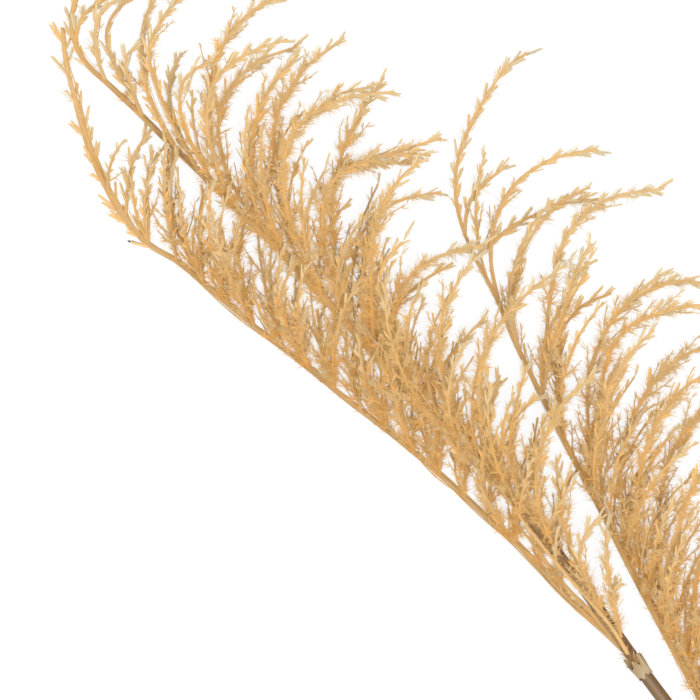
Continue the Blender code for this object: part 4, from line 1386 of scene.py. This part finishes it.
def turned_mesh(name, rings, sides):
    """A closed body through rings, each a middle, a direction, a radius and how brown it is."""
    shape = bmesh.new()
    ring_layer = shape.verts.layers.float_vector.new("ring")
    run_layer = shape.verts.layers.float.new("from_foot")
    brown_layer = shape.verts.layers.float.new("brown")
    gone, last, loops = 0.0, None, []
    for middle, ahead, radius, brown in rings:
        gone += (middle - last).length if last is not None else 0.0
        last = middle
        sideways = ahead.cross(Vector((0, 0, 1))).normalized()
        upward = sideways.cross(ahead)
        loop = []
        for corner in range(sides):
            turn = 2 * math.pi * corner / sides
            spot = Vector((math.cos(turn), math.sin(turn), 0))
            vertex = shape.verts.new(middle + (sideways * spot.x + upward * spot.y) * radius)
            vertex[ring_layer], vertex[run_layer], vertex[brown_layer] = spot, gone, brown
            loop.append(vertex)
        loops.append(loop)
    for near, far in zip(loops, loops[1:]):
        for corner in range(sides):
            following = (corner + 1) % sides
            shape.faces.new((near[corner], near[following], far[following], far[corner]))
    shape.faces.new(list(reversed(loops[0])))
    shape.faces.new(loops[-1])
    mesh = mesh_from(name, shape)
    mesh.shade_smooth()
    mesh.set_sharp_from_angle(angle=math.radians(SHARP_ANGLE))
    return mesh


def stem_rings(way, ring_shares, draw):
    """Rings of a culm from its seat to its cut end and back up its pipe."""
    way = smooth_way([way[0] + heading(way, 0) * GAP] + way[1:], STEM_FINE_STEPS)
    total = way_length(way)
    rings = []
    for index, place in enumerate(way):
        share = index / (len(way) - 1)
        radius = STEM_TOP_RADIUS + (STEM_CUT_RADIUS - STEM_TOP_RADIUS) * share
        brown = 0.0
        for mark in ring_shares:
            away = (share - mark) * total / RING_LENGTH
            radius *= 1 + (RING_SWELL - 1) * math.exp(-away * away)
            brown += math.exp(-(away - RING_SHADE_PLACE) ** 2 * RING_SHADE_NARROWNESS)
        radius *= 1 + draw.uniform(-STEM_UNEVENNESS, STEM_UNEVENNESS)
        rings.append((place, heading(way, index), radius, min(1.0, brown)))
    end, ahead = way[-1], heading(way, len(way) - 1)
    # The pipe of the cut end is painted darker towards its bottom: painted shade in the hollow
    rings.append((end, ahead, STEM_PIPE_RADIUS, PIPE_MOUTH_SHADE))
    rings.append((end - ahead * STEM_PIPE_DEPTH, ahead, STEM_PIPE_RADIUS, PIPE_BOTTOM_SHADE))
    return rings


def torn_sheath(name, foot, back, seed, material):
    """A thin sheath round a stem's top, whole below and torn into lobes above."""
    draw = random.Random(seed)
    shape = bmesh.new()
    ring_layer = shape.verts.layers.float_vector.new("ring")
    run_layer = shape.verts.layers.float.new("from_foot")
    sideways = back.orthogonal().normalized()
    columns = []
    lobes = [(turn, draw.uniform(*LOBE_LENGTHS), draw.uniform(*LOBE_FLARES))
             for turn in LOBE_TURNS]
    for column in range(SHEATH_COLUMNS):
        turn = 360.0 * column / SHEATH_COLUMNS
        fray = draw.uniform(-SHEATH_FRAY, SHEATH_FRAY)
        low = foot + back * (SHEATH_BELOW + fray)
        reach = SHEATH_BELOW + fray + draw.uniform(-SHEATH_FRAY, SHEATH_FRAY)
        flare = 0.0
        for lobe, length, spread in lobes:
            away = abs((turn - lobe + 180) % 360 - 180) / LOBE_WIDTH
            reach += length * max(0.0, 1 - away ** 2)
            flare += spread * max(0.0, 1 - away ** 2)
        outward = Matrix.Rotation(math.radians(turn), 3, back) @ sideways
        spot = Vector((math.cos(math.radians(turn)), math.sin(math.radians(turn)), 0))
        line = []
        for row in range(SHEATH_ROWS):
            share = row / (SHEATH_ROWS - 1)
            wave = math.sin(SHEATH_WAVE_RUN * share + turn / SHEATH_WAVE_TURN)
            radius = SHEATH_RADIUS * (1 + SHEATH_WAVE * wave)
            radius += SHEATH_PLEAT_DEPTH * share * math.sin(math.radians(SHEATH_PLEATS * turn))
            radius += flare * share ** 3 + draw.uniform(-SHEATH_UNEVENNESS, SHEATH_UNEVENNESS) * MM
            vertex = shape.verts.new(low - back * reach * share + outward * radius)
            vertex[ring_layer] = spot
            vertex[run_layer] = reach * share
            line.append(vertex)
        columns.append(line)
    for line, beside in zip(columns, columns[1:] + columns[:1]):
        for row in range(SHEATH_ROWS - 1):
            shape.faces.new((line[row], beside[row], beside[row + 1], line[row + 1]))
    mesh = mesh_from(name, shape)
    mesh.shade_smooth()
    piece = added(name, mesh, material)
    wall = piece.modifiers.new("wall", "SOLIDIFY")
    wall.thickness = SHEATH_WALL
    wall.offset = 0.0
    return piece


def added(name, mesh, material):
    """A new piece with one material."""
    mesh.materials.append(material)
    return placed(name, mesh)


def kept(piece, slot, *nodes):
    """Attach a piece to the root body and hide the nodes of the solid that it stands for."""
    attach(piece, "root")
    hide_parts(*nodes)


def dress_plume(side, plume, trees, kinds, looks, seed):
    """Grow one plume's stalks, loose strands and tufts as pieces."""
    stalks = plume.stalks()
    thick = stalks["main"] + stalks["strand"] + stalks["boughs"] + stalks["low"]
    loose = fibres(thick, plume.draw)
    loose += fibres(stalks["strand"], plume.draw, BUNDLE_PER_LENGTH, BUNDLE_RADIUS)
    crowd = [axis for kind in stalks.values() for axis in kind]
    sunk(crowd + loose, crowd)
    for axis in stalks["main"]:
        axis.depth = [depth * MAIN_DEPTH for depth in axis.depth]
    pieces = [
        grown(side + "_plume_stalks", skeleton("stalks", thick), trees["rods"],
              sides=STALK_SIDES, material=looks["stalks"]),
        grown(side + "_plume_branchlets", skeleton("branchlets", stalks["branchlets"]),
              trees["rods"], sides=BRANCHLET_SIDES, material=looks["stalks"]),
        grown(side + "_plume_strands", skeleton("strands", loose),
              trees["rods"], sides=FIBRE_SIDES, material=looks["stalks"]),
    ]
    for number, (label, kind, bearers, rule) in enumerate(DRESSINGS):
        axes = [axis for bearer in bearers for axis in stalks[bearer]]
        pieces.append(grown(side + "_plume_" + label, skeleton(label, axes), trees["tufts"],
                            tufts=kinds[kind], material=looks["hairs"],
                            seed=seed + DRESSING_SEED_STEP * number, **rule))
    for piece in pieces:
        lit_softly(settled(piece), NORMAL_LIFT)
        kept(piece, "dried_plume", "plume_" + side)


def dress_stem(side, plume, way, ring_shares, trees, kinds, looks, seed):
    """Make one plume's stem, and the torn sheath that it is seated in."""
    name = side + "_stem"
    rings = stem_rings(way, ring_shares, random.Random(seed))
    stem = added(name, turned_mesh(name, rings, STEM_SIDES), looks["bark"])
    kept(stem, "dried_stem", "stem_" + side)
    foot, back = plume.rachis[0], heading(way, 0)
    sheath = torn_sheath(side + "_sheath", foot, back, seed, looks["paper"])
    kept(sheath, "dried_plume", "plume_" + side)
    places = [foot + back * SHEATH_BELOW * share for share in SHEATH_HAIR_MARKS]
    axis = Axis(places, [SHEATH_RADIUS] * len(places))
    hairs = grown(side + "_sheath_hairs", skeleton("sheath", [axis]), trees["tufts"],
                  tufts=kinds["sprig"], material=looks["hairs"], seed=seed, **SHEATH_HAIRS)
    kept(settled(hairs), "dried_plume", "plume_" + side)


def wind_twine(tie, along, across, trees, kinds, looks):
    """Make the plied twine and its fibres."""
    axes = twine_axes(tie, along, across)
    twine = grown("twine", skeleton("twine", axes), trees["twine"], plies=TWINE_PLIES,
                  groove_depth=TWINE_GROOVE, lay_length=TWINE_LAY, material=twine_look())
    kept(twine, "twine", "tie_twine")
    hairs = grown("twine_fibres", skeleton("twine", axes), trees["tufts"], tufts=kinds["down"],
                  material=looks["hairs"], seed=TWINE_SEED, **TWINE_FIBRES)
    kept(settled(hairs), "twine", "tie_twine")


def studio():
    """A pale surface, soft light from all round and a camera straight above."""
    shape = bmesh.new()
    bmesh.ops.create_grid(shape, x_segments=2, y_segments=2, size=FLOOR_HALF_WIDTH)
    look = Look("pale_floor", roughness=0.9, emission_color=WHITE, emission_strength=FLOOR_GLOW)
    colour = look.ramp(look.noise(*FLOOR_SPECKLE), FLOOR_STOPS)
    floor = added("floor", mesh_from("floor", shape, flat=True), look.end(colour))
    floor.data.transform(Matrix.Translation((0, 0, -FLOOR_GAP)))

    world = bpy.data.worlds.new("studio")
    bpy.context.scene.world = world
    world.use_nodes = True
    background = world.node_tree.nodes["Background"]
    background.inputs["Color"].default_value = WHITE
    background.inputs["Strength"].default_value = WORLD_STRENGTH
    for number, (place, size, power) in enumerate(LAMPS):
        lamp = bpy.data.lights.new(f"lamp_{number}", "AREA")
        lamp.size = size
        lamp.energy = power
        stand = placed(f"lamp_{number}", lamp)
        stand.location = place
        stand.rotation_euler = (-Vector(place)).to_track_quat("-Z", "Y").to_euler()

    data = bpy.data.cameras.new("camera")
    camera = placed("camera", data)
    middle = on_plan(GRID_MIDDLE, GRID_MIDDLE, 0)
    upward = (on_plan(GRID_MIDDLE, GRID_ABOVE, 0) - middle).normalized()
    back = Vector((0, 0, 1))
    turn = Matrix((upward.cross(back), upward, back)).transposed().to_4x4()
    camera.matrix_world = Matrix.Translation(middle + back * CAMERA_HEIGHT) @ turn
    data.sensor_width = CAMERA_SENSOR
    data.lens = CAMERA_SENSOR * (CAMERA_HEIGHT - SHARP_HEIGHT) / (GRID_SQUARES * SQUARE)
    bpy.context.scene.camera = camera
    bpy.context.scene.view_settings.view_transform = "Standard"


def left_plume():
    plume = Plume(LEFT_RACHIS, LEFT_SEED, LEFT_LUSH, LEFT_COVER, LEFT_TIP, BOTH_SIDES)
    plume.add_strand(LEFT_STRAND)
    plume.add_branches(LEFT_BOUGHS, [plume.rachis], BOUGH_STEPS, BOUGH_FOOT_RADIUS)
    supports = [plume.rachis, plume.strand] + [way for way, *rest in plume.boughs]
    plume.add_branches(LEFT_TWIGS, supports, TWIG_STEPS, TWIG_FOOT_RADIUS)
    plume.add_fillers(plume.rachis, **LEFT_FILLERS)
    plume.add_fillers(plume.strand, **STRAND_FILLERS)
    plume.add_fillers(plume.rachis, **LEFT_MORE)
    plume.add_fillers(plume.strand, **STRAND_MORE)
    plume.low_stalks = LEFT_LOW_STALKS
    return plume


def right_plume():
    plume = Plume(RIGHT_RACHIS, RIGHT_SEED, RIGHT_LUSH, RIGHT_COVER, RIGHT_TIP, ONE_SIDE)
    plume.add_branches(RIGHT_BOUGHS, [plume.rachis], BOUGH_STEPS, BOUGH_FOOT_RADIUS)
    supports = [plume.rachis] + [way for way, *rest in plume.boughs]
    plume.add_branches(RIGHT_TWIGS, supports, TWIG_STEPS, TWIG_FOOT_RADIUS)
    plume.add_fillers(plume.rachis, **RIGHT_FILLERS)
    plume.add_fillers(plume.rachis, **RIGHT_MORE)
    return plume


def main():
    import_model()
    studio()
    looks = {"hairs": hair_look(), "stalks": stalk_look(), "bark": stem_look(),
             "paper": sheath_look()}
    trees = {"rods": rod_tree(), "tufts": dressing_tree(), "twine": twine_tree()}
    kinds = {name: tuft_kinds(name, looks["hairs"], *rule) for name, rule in TUFTS.items()}

    left, right = left_plume(), right_plume()
    tie = on_plan(*TIE_SQUARE, TIE_HEIGHT / MM)
    along = (on_plan(*TIE_HEADING, 0) - on_plan(0, 0, 0)).normalized()
    across = along.cross(Vector((0, 0, 1)))
    offset = across * (STEM_TIE_RADIUS + GAP / 2)
    left_way = smooth_way([left.rachis[0], on_plan(*LEFT_STEM_SQUARE), tie - offset,
                           on_plan(*LEFT_CUT_SQUARE)], STEM_STEPS)
    right_way = smooth_way([right.rachis[0], tie + offset, on_plan(*RIGHT_CUT_SQUARE)],
                           STEM_STEPS)
    for side, plume, way, ring_shares, seed in (
            ("left", left, left_way, LEFT_RINGS, LEFT_SEED),
            ("right", right, right_way, RIGHT_RINGS, RIGHT_SEED)):
        dress_plume(side, plume, trees, kinds, looks, seed)
        dress_stem(side, plume, way, ring_shares, trees, kinds, looks, seed)
    wind_twine(tie, along, across, trees, kinds, looks)


main()
